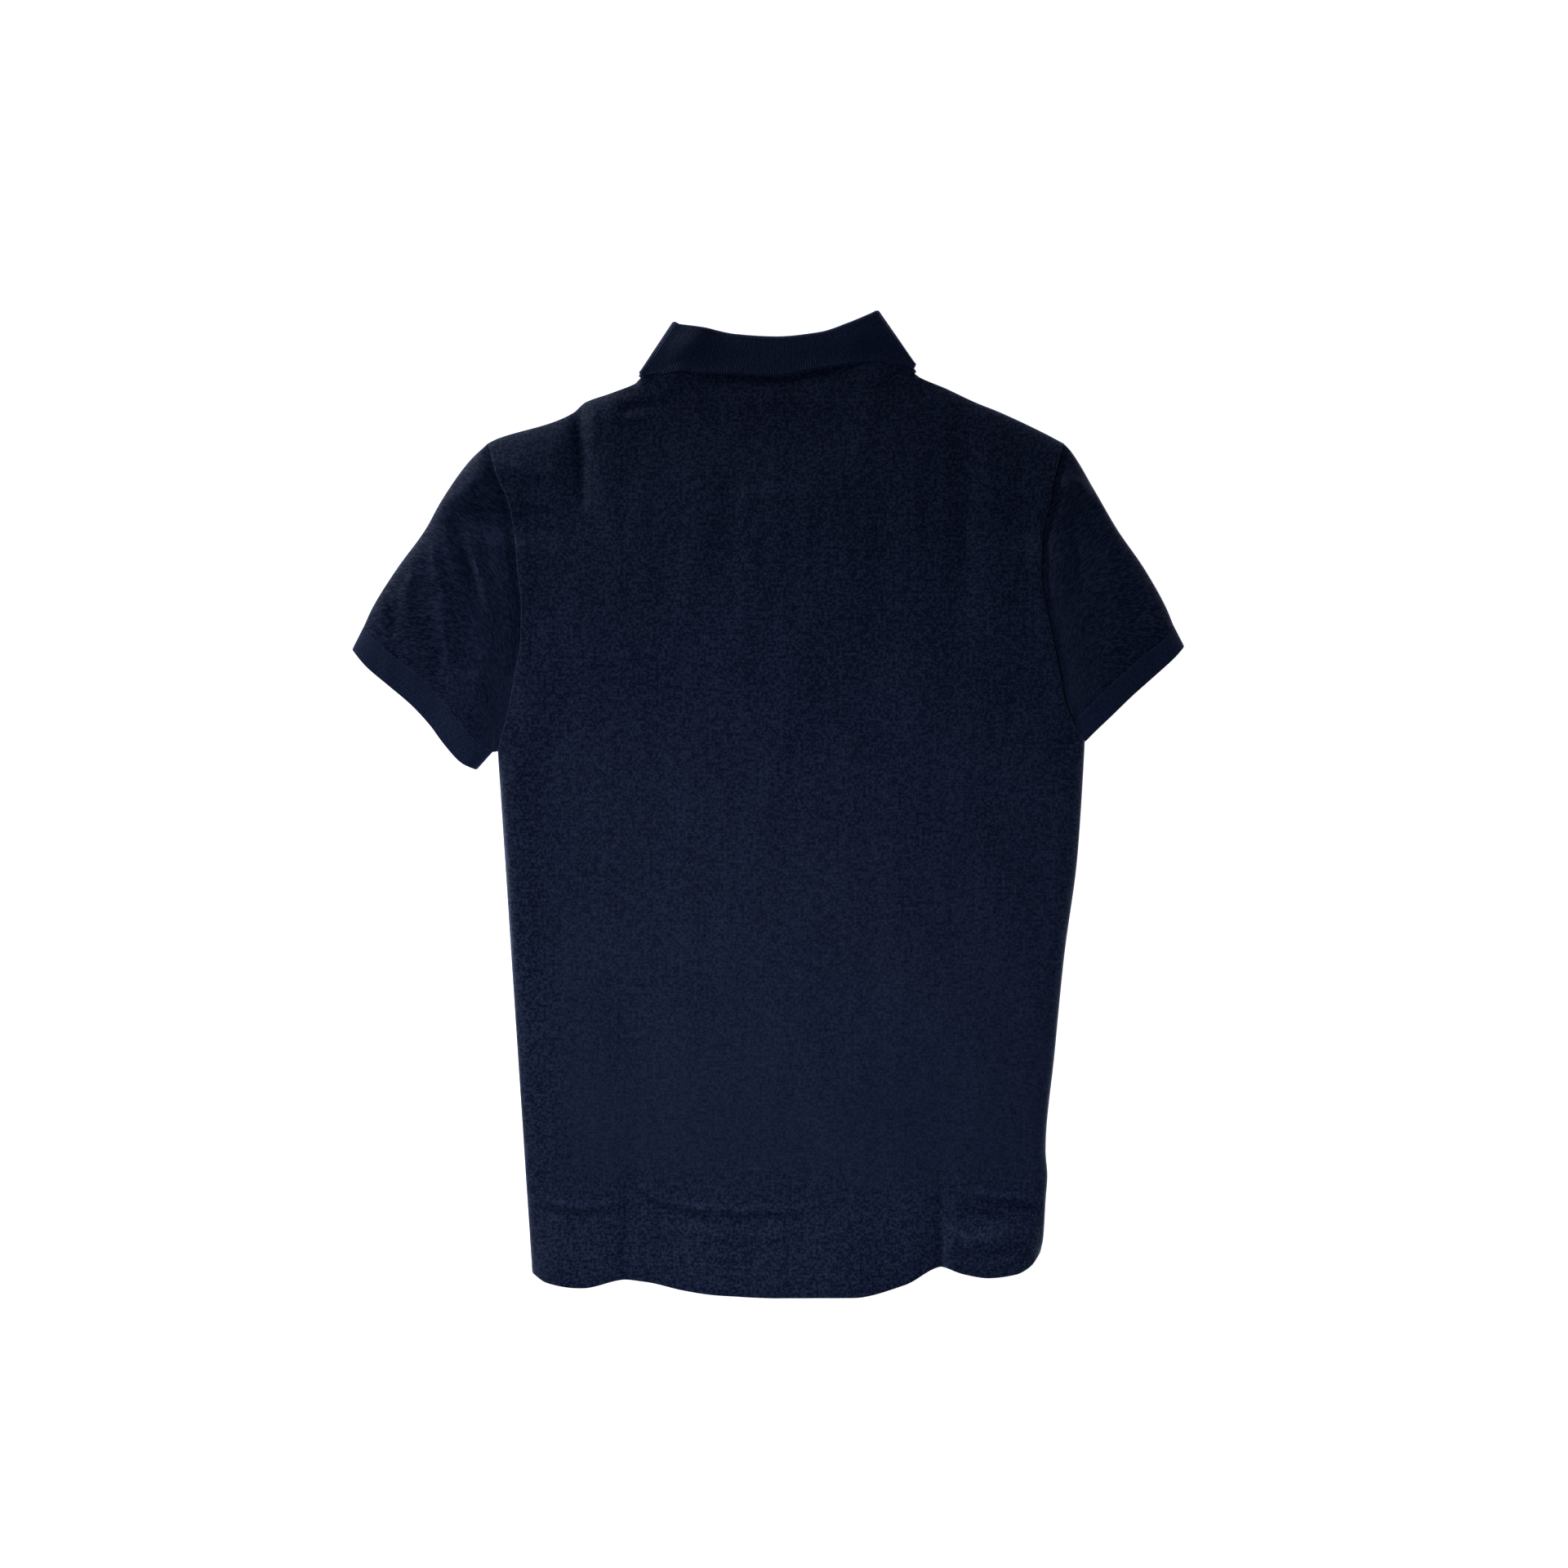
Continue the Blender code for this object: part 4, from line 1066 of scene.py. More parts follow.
@dataclass(frozen=True)
class RibFinish:
    """Navy flat-knit rib: fine ribs across the strip, each a row of knitted loops.

    rib_light is the painted shade between the ribs and the painted highlight on
    them, and relief the weight of ribs, loops and fibre in the height.
    """

    name: str = "rib_knit"
    dark: Colour = (0.0044, 0.0090, 0.0310)
    light: Colour = (0.0142, 0.0228, 0.0560)
    rib: float = 1.5
    loop: float = 0.9
    depth: float = 0.00030
    flecks: Pair = (0.36, 0.70)
    rib_light: Pair = (0.5, 1.2)
    rough: Pair = (0.62, 0.50)
    relief: tuple[float, ...] = (1.0, 0.25, 0.3)
    grain: Cloud = Cloud(0.0, 620.0, 620.0, 3.0, 0.6, 0.0)
    wander: Cloud = Cloud(0.0, 120.0, 30.0, 1.0, 0.5, 0.9)
    nap: float = 0.45
    gloss: float = 0.06

    def make(self) -> Material:
        """Build the material.

        Returns:
            The material.
        """
        sheet = NodeSheet(self.name)
        turns = 2 * math.pi * 1000.0
        place = sheet.add("SeparateXYZ", Vector=sheet.grain(0.0, 1.0, 1.0))
        across = sheet.math("MULTIPLY", place.outputs["X"], turns / self.rib)
        swing = self.wander.swing
        stray = sheet.span(sheet.noise(self.wander), 0.0, 1.0, -swing, swing)
        ribs = sheet.wave(sheet.math("ADD", across, stray))
        loops = sheet.wave(sheet.math("MULTIPLY", place.outputs["Y"], turns / self.loop))
        speckle = sheet.noise(self.grain)
        bright = sheet.span(speckle, *self.flecks, 0.0, 1.0)
        # Painted shade in the grooves between the ribs and painted highlight on their crowns.
        bright = sheet.math("MULTIPLY", bright, sheet.span(ribs, 0.0, 1.0, *self.rib_light))
        colour = sheet.mix(bright, self.dark, self.light)
        height = sheet.weigh((ribs, loops, sheet.noise(FIBRE)), self.relief)
        sheet.finish(colour, sheet.span(speckle, *MOST, *self.rough), height, self.depth)
        dress_as_cloth(sheet, self.nap, self.gloss)
        return sheet.material


@dataclass(frozen=True)
class ThreadFinish:
    """Navy sewing thread, a little smoother than the knit, twisted as it runs."""

    name: str = "thread"
    dark: Colour = (0.0030, 0.0056, 0.0190)
    light: Colour = (0.0090, 0.0140, 0.0340)
    twist: float = 0.45

    def make(self) -> Material:
        """Build the material.

        Returns:
            The material.
        """
        sheet = NodeSheet(self.name)
        place = sheet.add("TexCoord").outputs["Object"]
        turned = (0.0, 0.0, math.radians(38))
        place = sheet.add("Mapping", Vector=place, Rotation=turned).outputs["Vector"]
        parts = sheet.add("SeparateXYZ", Vector=place)
        phase = sheet.math("MULTIPLY", parts.outputs["X"], 2 * math.pi * 1000.0 / self.twist)
        strands = sheet.wave(phase)
        # Painted shade in the grooves between the twisted strands and painted highlight on their crowns.
        colour = sheet.mix(strands, self.dark, self.light)
        sheet.finish(colour, sheet.span(strands, 0.0, 1.0, 0.8, 0.6), strands, 0.00006)
        dress_as_cloth(sheet, 0.15, 0.3)
        return sheet.material


@dataclass(frozen=True)
class ButtonFinish:
    """Navy moulded resin with a satin face and faint swirls."""

    name: str = "button_resin"
    dark: Colour = (0.0085, 0.0120, 0.0270)
    light: Colour = (0.0180, 0.0240, 0.0460)

    def make(self) -> Material:
        """Build the material.

        Returns:
            The material.
        """
        sheet = NodeSheet(self.name)
        place = sheet.add("TexCoord").outputs["Object"]
        swirl = sheet.add(
            "TexNoise", Vector=place, Scale=260.0, Detail=4.0, Roughness=0.5, Distortion=1.8
        ).outputs["Fac"]
        scuff = sheet.add("TexNoise", Vector=place, Scale=2400.0, Detail=2.0).outputs["Fac"]
        colour = sheet.mix(swirl, self.dark, self.light)
        sheet.finish(colour, sheet.span(scuff, *MOST, 0.26, 0.42), scuff, 0.00002)
        sheet.fill(sheet.shader, Coat_Weight=0.25, Coat_Roughness=0.2)
        return sheet.material


def dress_as_cloth(sheet: NodeSheet, nap: float, gloss: float) -> None:
    """Give a finish cotton's soft nap and the fibres' own gloss."""
    sheen = {"Sheen_Roughness": 0.36, "Sheen_Tint": (0.42, 0.58, 1.0, 1.0)}
    sheet.fill(sheet.shader, Sheen_Weight=nap, Specular_IOR_Level=gloss, **sheen)


@dataclass(frozen=True)
class FloorFinish:
    """Pale studio paper, lit a little from within so that it stays even."""

    name: str = "studio_paper"
    colour: Colour = (0.86, 0.86, 0.86)
    glow: float = 0.96

    def make(self) -> Material:
        """Build the material.

        Returns:
            The material.
        """
        sheet = NodeSheet(self.name)
        place = sheet.add("TexCoord").outputs["Object"]
        tooth = sheet.add("TexNoise", Vector=place, Scale=900.0, Detail=2.0).outputs["Fac"]
        low = tuple(value * 0.985 for value in self.colour)
        colour = sheet.mix(tooth, low, self.colour)
        sheet.finish(colour, 0.9, tooth, 0.00003)
        glow = {"Emission_Color": (1.0, 1.0, 1.0, 1.0), "Emission_Strength": self.glow}
        sheet.fill(sheet.shader, Specular_IOR_Level=0.1, **glow)
        return sheet.material


@dataclass(frozen=True)
class Wardrobe:
    """Every finish of the shirt, made once."""

    pique: Material
    rib: Material
    thread: Material
    resin: Material

    @classmethod
    def stock(cls) -> "Wardrobe":
        """Make the finishes."""
        made = (kind().make() for kind in (PiqueFinish, RibFinish, ThreadFinish, ButtonFinish))
        return cls(*made)


# ---- stitches


@dataclass(frozen=True)
class StitchRow:
    """A row of lockstitches: short arched threads along a line on the cloth."""

    length: float = 2.3
    pitch: float = 2.9
    radius: float = 0.24
    arch: float = 0.16
    end_girth: float = 0.45
    rings: int = 5
    sides: int = 6

    def lay(self, line: Array, normal: Array) -> tuple[Array, Array]:
        """Points and faces of the stitches along a line.

        Args:
            line: Points of the line, in mm, close together.
            normal: Unit normals of the cloth at those points.

        Returns:
            Corner points in mm, and quads that number them.
        """
        reached = run_of(line)
        count = max(int(reached[-1] // self.pitch), 1)
        starts = (np.arange(count) + 0.5) * reached[-1] / count - self.length / 2
        share = np.linspace(0.0, 1.0, self.rings)
        at = starts[:, None] + share * self.length
        spine, up = (
            np.stack([np.interp(at, reached, part[:, axis]) for axis in range(3)], axis=-1)
            for part in (line, normal)
        )
        up = unit(up)
        spine = spine + up * (np.sin(share * math.pi) * self.arch * 2 - self.arch)[:, None]
        ahead = unit(np.gradient(spine, axis=1))
        aside = np.cross(ahead, up)
        turn = np.arange(self.sides) / self.sides * 2 * math.pi
        girth = self.radius * blend(self.end_girth, 1.0, np.sin(share * math.pi))
        ring = np.cos(turn)[:, None] * aside[:, :, None] + np.sin(turn)[:, None] * up[:, :, None]
        corners = (spine[:, :, None] + ring * girth[:, None, None]).reshape(-1, 3)
        return corners, self.skin(count)

    def skin(self, count: int) -> Array:
        """Quads over a number of stitches, with folded caps.

        Args:
            count: Number of stitches.

        Returns:
            Four point numbers for each quad.
        """
        side = np.arange(self.sides)
        beside = (side + 1) % self.sides
        band = np.stack([side, beside, beside + self.sides, side + self.sides], axis=-1)
        steps = np.arange(self.rings - 1)[:, None, None] * self.sides
        near, far = np.array([[3, 2, 1, 0], [5, 4, 3, 0]]), np.array([[0, 1, 2, 3], [0, 3, 4, 5]])
        last = (self.rings - 1) * self.sides
        one = np.concatenate([(band + steps).reshape(-1, 4), near, far + last])
        shift = np.arange(count)[:, None, None] * self.rings * self.sides
        return (one + shift).reshape(-1, 4)


def sew(
    name: str, rows: Sequence[tuple[Array, Array]], finish: Material,
    stitch: StitchRow = StitchRow(),
) -> Piece:
    """Join rows of stitches into one piece.

    Args:
        name: Name of the piece.
        rows: Line and normals of each row.
        finish: Finish of the thread.
        stitch: Size of a stitch.

    Returns:
        The object.
    """
    corners, faces, reached = [], [], 0
    for line, normal in rows:
        points, quads = stitch.lay(line, normal)
        corners.append(points)
        faces.append(quads + reached)
        reached += len(points)
    mesh = bpy.data.meshes.new(name)
    mesh.from_pydata((np.concatenate(corners) * MM).tolist(), [], np.concatenate(faces).tolist())
    mesh.shade_smooth()
    return make_object(name, mesh, finish)


# ---- body panels

# Rough lengths that the zones of the body's grids divide.
FLANK = 100.0
NECK_SIDE = 75.0
SLOT = 45.8
BELOW_CHEST = 385.0


def zoned(*zones: Array) -> Array:
    """Positions over some zones in a row, each given by the shares of its own zone."""
    return np.unique(np.concatenate([number + zone for number, zone in enumerate(zones)]).round(9))


@dataclass
class BodyGrid:
    """Grid of places over a body panel, from hem to top and from left to right edge.

    Columns are numbered 0 at the left edge, 1 and 4 at the neck points, 2 and 3 at the placket's
    slot and 5 at the right edge.
    """

    layers: Layers
    layer: Layer
    columns: Array
    low_rows: Array
    high_rows: Array
    hem_rise: float = 0.0

    def across(self, left: Array, right: Array, up: Array) -> Array:
        """x of every column between two edges.

        Args:
            left: x of the left edge of each row.
            right: x of the right edge of each row.
            up: Share of the way that the neck lines have straightened, 0 at the hem.

        Returns:
            One row of x for each value.
        """
        cut = self.layers.cut
        low, high = (blend(*ends, up) for ends in zip(cut.hem_valleys, cut.neck_x))
        slot = (np.full(left.shape, edge) for edge in (cut.slot_left, cut.slot_right))
        places = np.stack([left, low, *slot, high, right], axis=-1)
        zone = np.clip(self.columns.astype(int), 0, 4)
        return blend(places[:, zone], places[:, zone + 1], self.columns - zone)

    def plan(self) -> tuple[Array, Array, Array, Array, Array]:
        """Places of the grid.

        Returns:
            x and y of every point, the x of both edges of each row, and the y of the top edge.
        """
        cut = self.layers.cut
        ends = np.array([cut.left_shoulder[0].x]), np.array([cut.right_shoulder[-1].x])
        top = cut.top_y(self.across(*ends, np.ones(1))[0], self.layer)
        hem_ends = np.array([cut.hem[0].x]), np.array([cut.hem[-1].x])
        hem = cut.hem_y(self.across(*hem_ends, np.zeros(1))[0]) + self.hem_rise
        under_left, under_right = cut.underarm_y
        levels = (under_left, cut.slot_bottom, cut.slot_bottom, under_right)
        chest = np.interp(self.columns, (0, 2, 3, 5), levels)
        low, high = self.low_rows, self.high_rows[1:]
        left, right = (
            np.concatenate([
                read(cut.side_seams, side.word, blend(end, underarm, low)),
                cut.armhole(side, blend(underarm, cut.tip_y, high)),
            ])
            for side, end, underarm in zip(Side, (hem[0], hem[-1]), cut.underarm_y)
        )
        y = np.concatenate([blend(hem, chest, low[:, None]), blend(chest, top, high[:, None])])
        x = self.across(left, right, np.concatenate([low, np.ones(len(high))]))
        return x, y, left, right, top


@dataclass
class BackPanel:
    """Back of the shirt, on top, closed on the front along the side and shoulder seams."""

    layers: Layers
    wardrobe: Wardrobe
    side_rolls: tuple[Edges, ...] = rows_of(
        Edges, (-350, 24, 14), (-240, 22, 12), (-140, 15, 12), (-100, 8, 14), (40, 7, 16),
    )
    seam_roll: float = 10.0
    shoulder_rolls: tuple[Point, ...] = rows_of(
        Point, (-200, 24), (-150, 26), (-128, 18), (-100, 13), (120, 13), (210, 17),
    )
    neck_blend: float = 25.0
    hem_depth: float = 20.0
    hem_step: float = 0.35
    hem_extra: float = 0.5
    hem_ramp: float = 1.6
    stitch_height: float = 18.6
    stitch_groove: float = 0.38
    stitch_groove_width: float = 1.7
    allowance: float = 7.0
    allowance_rise: float = 0.55
    allowance_ramp: float = 3.0
    seam_drop: float = 0.9
    seam_drop_width: float = 1.6
    above_chest: float = 240.0
    flank_split: float = 0.2

    def columns(self) -> Array:
        """Positions of the grid's columns.

        Returns:
            The positions, as BodyGrid numbers them.
        """
        left = graded(FLANK, 0.35, 2.3, high=False)
        neck = graded(NECK_SIDE, 2.3, 2.3, low=False, high=False)
        slot = graded(SLOT, 1.1, 2.2)
        valley = graded(NECK_SIDE, 0.8, 2.3, low=False)
        start, end = graded(FLANK, 0.8, 2.3, high=False), (1 - left)[::-1]
        right = np.union1d(start[start < self.flank_split], end[end > self.flank_split])
        return zoned(left, neck, slot, valley, right)

    def rows(self) -> tuple[Array, Array]:
        """Positions of the grid's rows below and above the chest.

        Returns:
            Shares of the way up, for both stretches.
        """
        hem_edge = [0.0, 0.25, 0.6, 1.1, 2.0, 3.4]
        fold = np.arange(5.5, 16.5, 2.5)
        stitch = np.arange(17.2, 22.0, 0.7)
        band = np.arange(24.0, 46.0, 2.6)
        crease = np.arange(47.0, 68.0, 1.25)
        rest = np.linspace(70.0, BELOW_CHEST, 108)
        low = np.concatenate([hem_edge, fold, stitch, band, crease, rest]) / BELOW_CHEST
        return low, graded(self.above_chest, 0.35, 2.8, low=False)

    def armhole_opening(self, y: Array, side: Side) -> Array:
        """How far an armhole edge stands open: 0 at its ends, 1 between them.

        Args:
            y: y of the places.
            side: Side of the armhole.

        Returns:
            One share for each place.
        """
        cut = self.layers.cut
        from_tip = round_rise((cut.tip_y - y) / self.layers.fold_rolls[side.number])
        above = np.maximum(y - cut.underarm_y[side.number], 0.0)
        return from_tip * round_rise(above / self.seam_roll)

    def relief(self, y: Array, above_hem: Array, from_sides: Sequence[Array]) -> Array:
        """Small rises of the sewing: the hem's fold and its stitch line, and the armhole seams.

        Args:
            y: y of the points.
            above_hem: Their distance from the hem.
            from_sides: Their distance from the left edge, and from the right one.

        Returns:
            One rise for each point.
        """
        from_stitches = above_hem - self.stitch_height
        total = self.hem_step * fade(above_hem - self.hem_depth, self.hem_ramp)
        total = total - self.stitch_groove * bump(from_stitches, self.stitch_groove_width)
        for side, distance in zip(Side, from_sides):
            opening = self.armhole_opening(y, side)
            raised = self.allowance_rise * fade(distance - self.allowance, self.allowance_ramp)
            drop = self.seam_drop * fall(distance, self.seam_drop_width)
            total = total + opening * (raised - drop)
        return total

    def surface(self) -> tuple[Array, Array, Array]:
        """Outer grid of the panel.

        Returns:
            The outer points, their normals and their distance from the hem.
        """
        layers, cut, knits = self.layers, self.layers.cut, self.layers.knits
        grid = BodyGrid(layers, Layer.BACK, self.columns(), *self.rows())
        x, y, left, right, top = grid.plan()
        above_hem, from_sides = y - cut.hem_y(x), (x - left[:, None], right[:, None] - x)
        ground = layers.front_stack(x, y) + knits.contact
        low, high = cut.neck_x
        beyond_neck = np.maximum(np.maximum(low - x, x - high), 0.0)
        at_neck = fade(beyond_neck, self.seam_roll) * fade(top - y, self.neck_blend)
        neck_top = layers.collar_centre(x) + layers.stand_radius + knits.pique / 2
        crown = blend(layers.cloth_top(x, y), np.maximum(neck_top, ground + knits.pique), at_neck)
        height = crown - ground
        in_neck = (x > low - 1) & (x < high + 1)
        over_roll = read(self.shoulder_rolls, "y", x, by="x")
        over = np.where(in_neck, 1.0, round_rise((top - y) / over_roll))
        over_up = upright_share(top - y, over_roll, height)
        rises, uprights = [], []
        for side, distance in zip(Side, from_sides):
            roll, opening = read(self.side_rolls, side.word, y), self.armhole_opening(y, side)
            rises.append(blend(round_rise(distance / roll), 1.0, opening))
            uprights.append(blend(upright_share(distance, roll, height), 1.0, opening))
        rises = np.stack([*rises, over])
        chosen = rises.argmin(axis=0)
        upright = np.choose(chosen, [*uprights, np.where(in_neck, 1.0, over_up)])
        level = np.sqrt(np.maximum(1 - upright**2, 0.0))
        outward = np.array([(-1.0, 0.0), (1.0, 0.0), (0.0, 1.0)])[chosen]
        normal = np.concatenate([outward * level[..., None], upright[..., None]], axis=-1)
        rise = rises.min(axis=0)
        z = ground + height * rise + self.relief(y, above_hem, from_sides) * rise
        return np.stack([x, y, z], axis=-1), normal, above_hem

    def build(self) -> list[Piece]:
        """Build the panel and its hem stitches.

        Returns:
            The two pieces.
        """
        knits = self.layers.knits
        outer, normal, above_hem = self.surface()
        folded = fade(above_hem - self.hem_depth, self.hem_ramp)
        thick = knits.pique + self.hem_extra * folded
        middle = outer - normal * thick[..., None] / 2
        thick = thick * edge_round(above_hem, knits.pique + self.hem_extra)
        faces = ply(middle, normal, thick)
        wall = ClothWall(*faces, grain=outer[..., :2])
        panel = cloth_piece("back_panel", wall, self.wardrobe.pique, "pique", "back")
        row = closest(above_hem[:, above_hem.shape[1] // 2], self.stitch_height)
        hem_rows = [(faces[0][row, 3:-3], normal[row, 3:-3])]
        stitches = sew("hem_stitches", hem_rows, self.wardrobe.thread)
        mount_piece(stitches, "pique")
        return [panel, stitches]


def upright_share(
    distance: Array, width: Array | float, height: Array, least_height: float = 1.2
) -> Array:
    """Upright part of the normal on a rounded edge.

    Args:
        distance: Distance from the edge.
        width: Width that the edge is rounded over.
        height: Height that it rises to.
        least_height: Height below which it counts as this high.

    Returns:
        One share for each distance.
    """
    share = np.clip(distance / width, 0.0, 1.0)
    level = (1 - share) / width
    upright = round_rise(share) / np.maximum(height, least_height)
    return upright / np.maximum(np.hypot(level, upright), TINY)


@dataclass
class FrontPanel:
    """Front of the shirt, on the ground, with the placket's two strips in its slot."""

    layers: Layers
    wardrobe: Wardrobe
    above_chest: float = 200.0
    hem_stitch_height: float = 18.0
    hem_thread: StitchRow = StitchRow(radius=0.12, arch=0.02)
    thread_sink: float = 0.02
    stitch_inset: float = 5.0
    stitch_groove: float = 0.22
    stitch_groove_width: float = 1.1

    def columns(self) -> Array:
        """Positions of the grid's columns.

        Returns:
            The positions, as BodyGrid numbers them.
        """
        side = graded(FLANK, 0.8, 4.0, high=False)
        neck = graded(NECK_SIDE, 4.0, 4.0, low=False, high=False)
        return zoned(side, neck, graded(SLOT, 0.5, 2.6), neck, (1 - side)[::-1])

    def grids(self) -> tuple[BodyGrid, Array, Array]:
        """Grid of the panel, its outer points and its normals.

        Returns:
            The grid, the points and the normals.
        """
        low = graded(BELOW_CHEST, 0.4, 4.4, high=False)
        high = graded(self.above_chest, 0.6, 3.4)
        rise = self.layers.cut.front_hem_rise
        grid = BodyGrid(self.layers, Layer.FRONT, self.columns(), low, high, rise)
        x, y, *_ = grid.plan()
        z = self.layers.front_lift(x, y)
        slope_x, slope_y = slopes(x, y, z)
        normal = unit(np.stack([slope_x, slope_y, -np.ones(z.shape)], axis=-1))
        return grid, np.stack([x, y, z], axis=-1), normal

    def build(self) -> list[Piece]:
        """Build the panel, the strips of the placket and their stitches.

        Returns:
            The pieces.
        """
        knits, cut = self.layers.knits, self.layers.cut
        grid, outer, normal = self.grids()
        lift = np.array([0.0, 0.0, knits.pique])
        hem = edge_round(outer[..., 1] - cut.hem_y(outer[..., 0]) - cut.front_hem_rise, knits.pique)
        middle = outer + lift / 2
        half = lift / 2 * hem[..., None]
        first, last = closest(grid.columns, 2), closest(grid.columns, 3)
        low = len(grid.low_rows) - 1
        kept = np.ones((outer.shape[0] - 1, outer.shape[1] - 1), bool)
        kept[low:, first:last] = False
        wall = ClothWall(middle - half, middle + half, outer[..., :2], kept=kept)
        panel = cloth_piece("front_panel", wall, self.wardrobe.pique, "pique", "front")
        row = closest(outer[:, 0, 1] - cut.hem[0].y, self.hem_stitch_height)
        hem_line = outer[row, 3:-3] - np.array([0.0, 0.0, self.thread_sink])
        hem_rows = [(hem_line, -normal[row, 3:-3])]
        hem_stitches = sew("front_hem_stitches", hem_rows, self.wardrobe.thread, self.hem_thread)
        hem_stitches.location.z = self.hem_thread.radius * MM
        mount_piece(hem_stitches, "pique")
        strip = outer[low:, first:last + 1].copy()
        strip[:, 0, 0] += knits.seam
        strip[:, -1, 0] -= knits.seam
        strip[0, :, 1] += knits.seam
        return [panel, hem_stitches, *self.placket(strip)]

    def placket(self, strip: Array) -> list[Piece]:
        """Build the placket's two strips and the stitches round them.

        Args:
            strip: Lowest points of the outer strip.

        Returns:
            The pieces.
        """
        knits = self.layers.knits
        inset_x = np.minimum(strip[..., 0] - strip[:, :1, 0], strip[:, -1:, 0] - strip[..., 0])
        inset = np.minimum(inset_x, strip[..., 1] - strip[:1, :, 1])
        thick = knits.pique * edge_round(inset, knits.pique)
        groove = self.stitch_groove * bump(inset - self.stitch_inset, self.stitch_groove_width)
        up = np.array([0.0, 0.0, 1.0])
        pieces = []
        for number, node in enumerate(("placket_over", "placket_under")):
            base = strip + up * (number * (knits.pique + knits.seam) + knits.pique / 2)
            low = base - up * (thick / 2 - groove * (number == 0))[..., None]
            high = base + up * (thick / 2)[..., None]
            wall = ClothWall(low, high, strip[..., :2])
            piece = cloth_piece(f"{node}_strip", wall, self.wardrobe.pique, "pique", node)
            stitches = [self.placket_stitches(low)] if number == 0 else []
            pieces += [piece, *stitches]
        return pieces

    def placket_stitches(self, low: Array) -> Piece:
        """Rows of stitches just inside the placket's two long edges and across its foot.

        Args:
            low: Outer points of the outer strip.

        Returns:
            The joined stitches.
        """
        from_left = low[0, :, 0] - low[0, 0, 0]
        left = closest(from_left, self.stitch_inset)
        right = closest(from_left, from_left[-1] - self.stitch_inset)
        foot = closest(low[:, 0, 1] - low[0, 0, 1], self.stitch_inset)
        down = np.array([0.0, 0.0, -1.0])
        lines = [low[foot:-8, left], low[foot:-8, right], low[foot, left:right + 1]]
        rows = [(line, np.broadcast_to(down, line.shape)) for line in lines]
        return mount_piece(sew("placket_stitches", rows, self.wardrobe.thread), "pique")


def slopes(x: Array, y: Array, z: Array) -> tuple[Array, Array]:
    """Slope of a grid of heights along x and y.

    Args:
        x: x of the points.
        y: y of the points.
        z: Heights of the points.

    Returns:
        The rise per unit along x, and along y.
    """
    (x_row, x_col), (y_row, y_col), (z_row, z_col) = (np.gradient(part) for part in (x, y, z))
    area = x_col * y_row - x_row * y_col
    area = np.where(np.abs(area) < TINY, TINY, area)
    along_x = (z_col * y_row - z_row * y_col) / area
    along_y = (z_row * x_col - z_col * x_row) / area
    return along_x, along_y


# ---- sleeves


@dataclass(frozen=True)
class SleevePattern:
    """Where one sleeve's edges lie."""

    side: Side
    underarm_y: float
    fold: tuple[Point, ...]
    cuff_seam: tuple[Point, ...]
    cuff_edge: tuple[Point, ...]
    flat: Pair
    area: float
    cuff_flat: Pair
    cuff_area: float


LEFT_SLEEVE = SleevePattern(
    side=Side.LEFT,
    underarm_y=37.0,
    fold=rows_of(
        Point, (-199.2, 256.4), (-212.6, 243.6), (-232.3, 215.8), (-243.9, 194.9), (-264.2, 167),
        (-281.6, 139.2), (-288, 125.3),
    ),
    cuff_seam=rows_of(
        Point, (-288, 125.3), (-267.1, 105.6), (-248.5, 91.6), (-228.2, 69), (-217.8, 55.1),
        (-204.5, 41.2), (-196, 36.5),
    ),
    cuff_edge=rows_of(
        Point, (-296, 109.5), (-285.7, 97.4), (-269.4, 83.5), (-253.2, 69.6), (-240.4, 55.7),
        (-230, 41.8), (-217, 28.2), (-207.4, 23.8),
    ),
    flat=(0.37, 0.135),
    area=0.0275,
    cuff_flat=(0.255, 0.019),
    cuff_area=0.0046,
)
RIGHT_SLEEVE = SleevePattern(
    side=Side.RIGHT,
    underarm_y=60.0,
    fold=rows_of(
        Point, (210, 256.4), (215.5, 250.6), (232.3, 222.7), (248.5, 194.9), (267.7, 167), (283.3, 139.2),
        (288.4, 126.7),
    ),
    cuff_seam=rows_of(
        Point, (288.4, 126.7), (282.2, 117.7), (267.1, 105.6), (247.4, 88.2), (232.9, 74.2), (217, 57.6),
    ),
    cuff_edge=rows_of(
        Point, (296.1, 111.7), (289.7, 104.4), (274.6, 90.5), (259, 76.6), (244.5, 62.6), (230, 48.7),
        (225.2, 43.6),
    ),
    flat=(0.31, 0.12),
    area=0.0200,
    cuff_flat=(0.195, 0.018),
    cuff_area=0.0031,
)


@dataclass(frozen=True)
class Tube:
    """A flattened tube of cloth.

    plan gives places across it and crown the height of its upper face, both at a share of its
    length; rows are the shares, rim the share of the full thickness and tuck_depth how deep the
    seam allowance lies under the outer face.
    """

    plan: Callable[[Array, float], Array]
    crown: Callable[[Array, float], Array]
    rows: Array
    thickness: float
    rim: Callable[[float], float]
    tuck_depth: float

    def width(self, out: float) -> float:
        """Width across the tube at a share of its length."""
        return float(np.linalg.norm(np.subtract(*self.plan(np.array([0.0, 1.0]), out))))


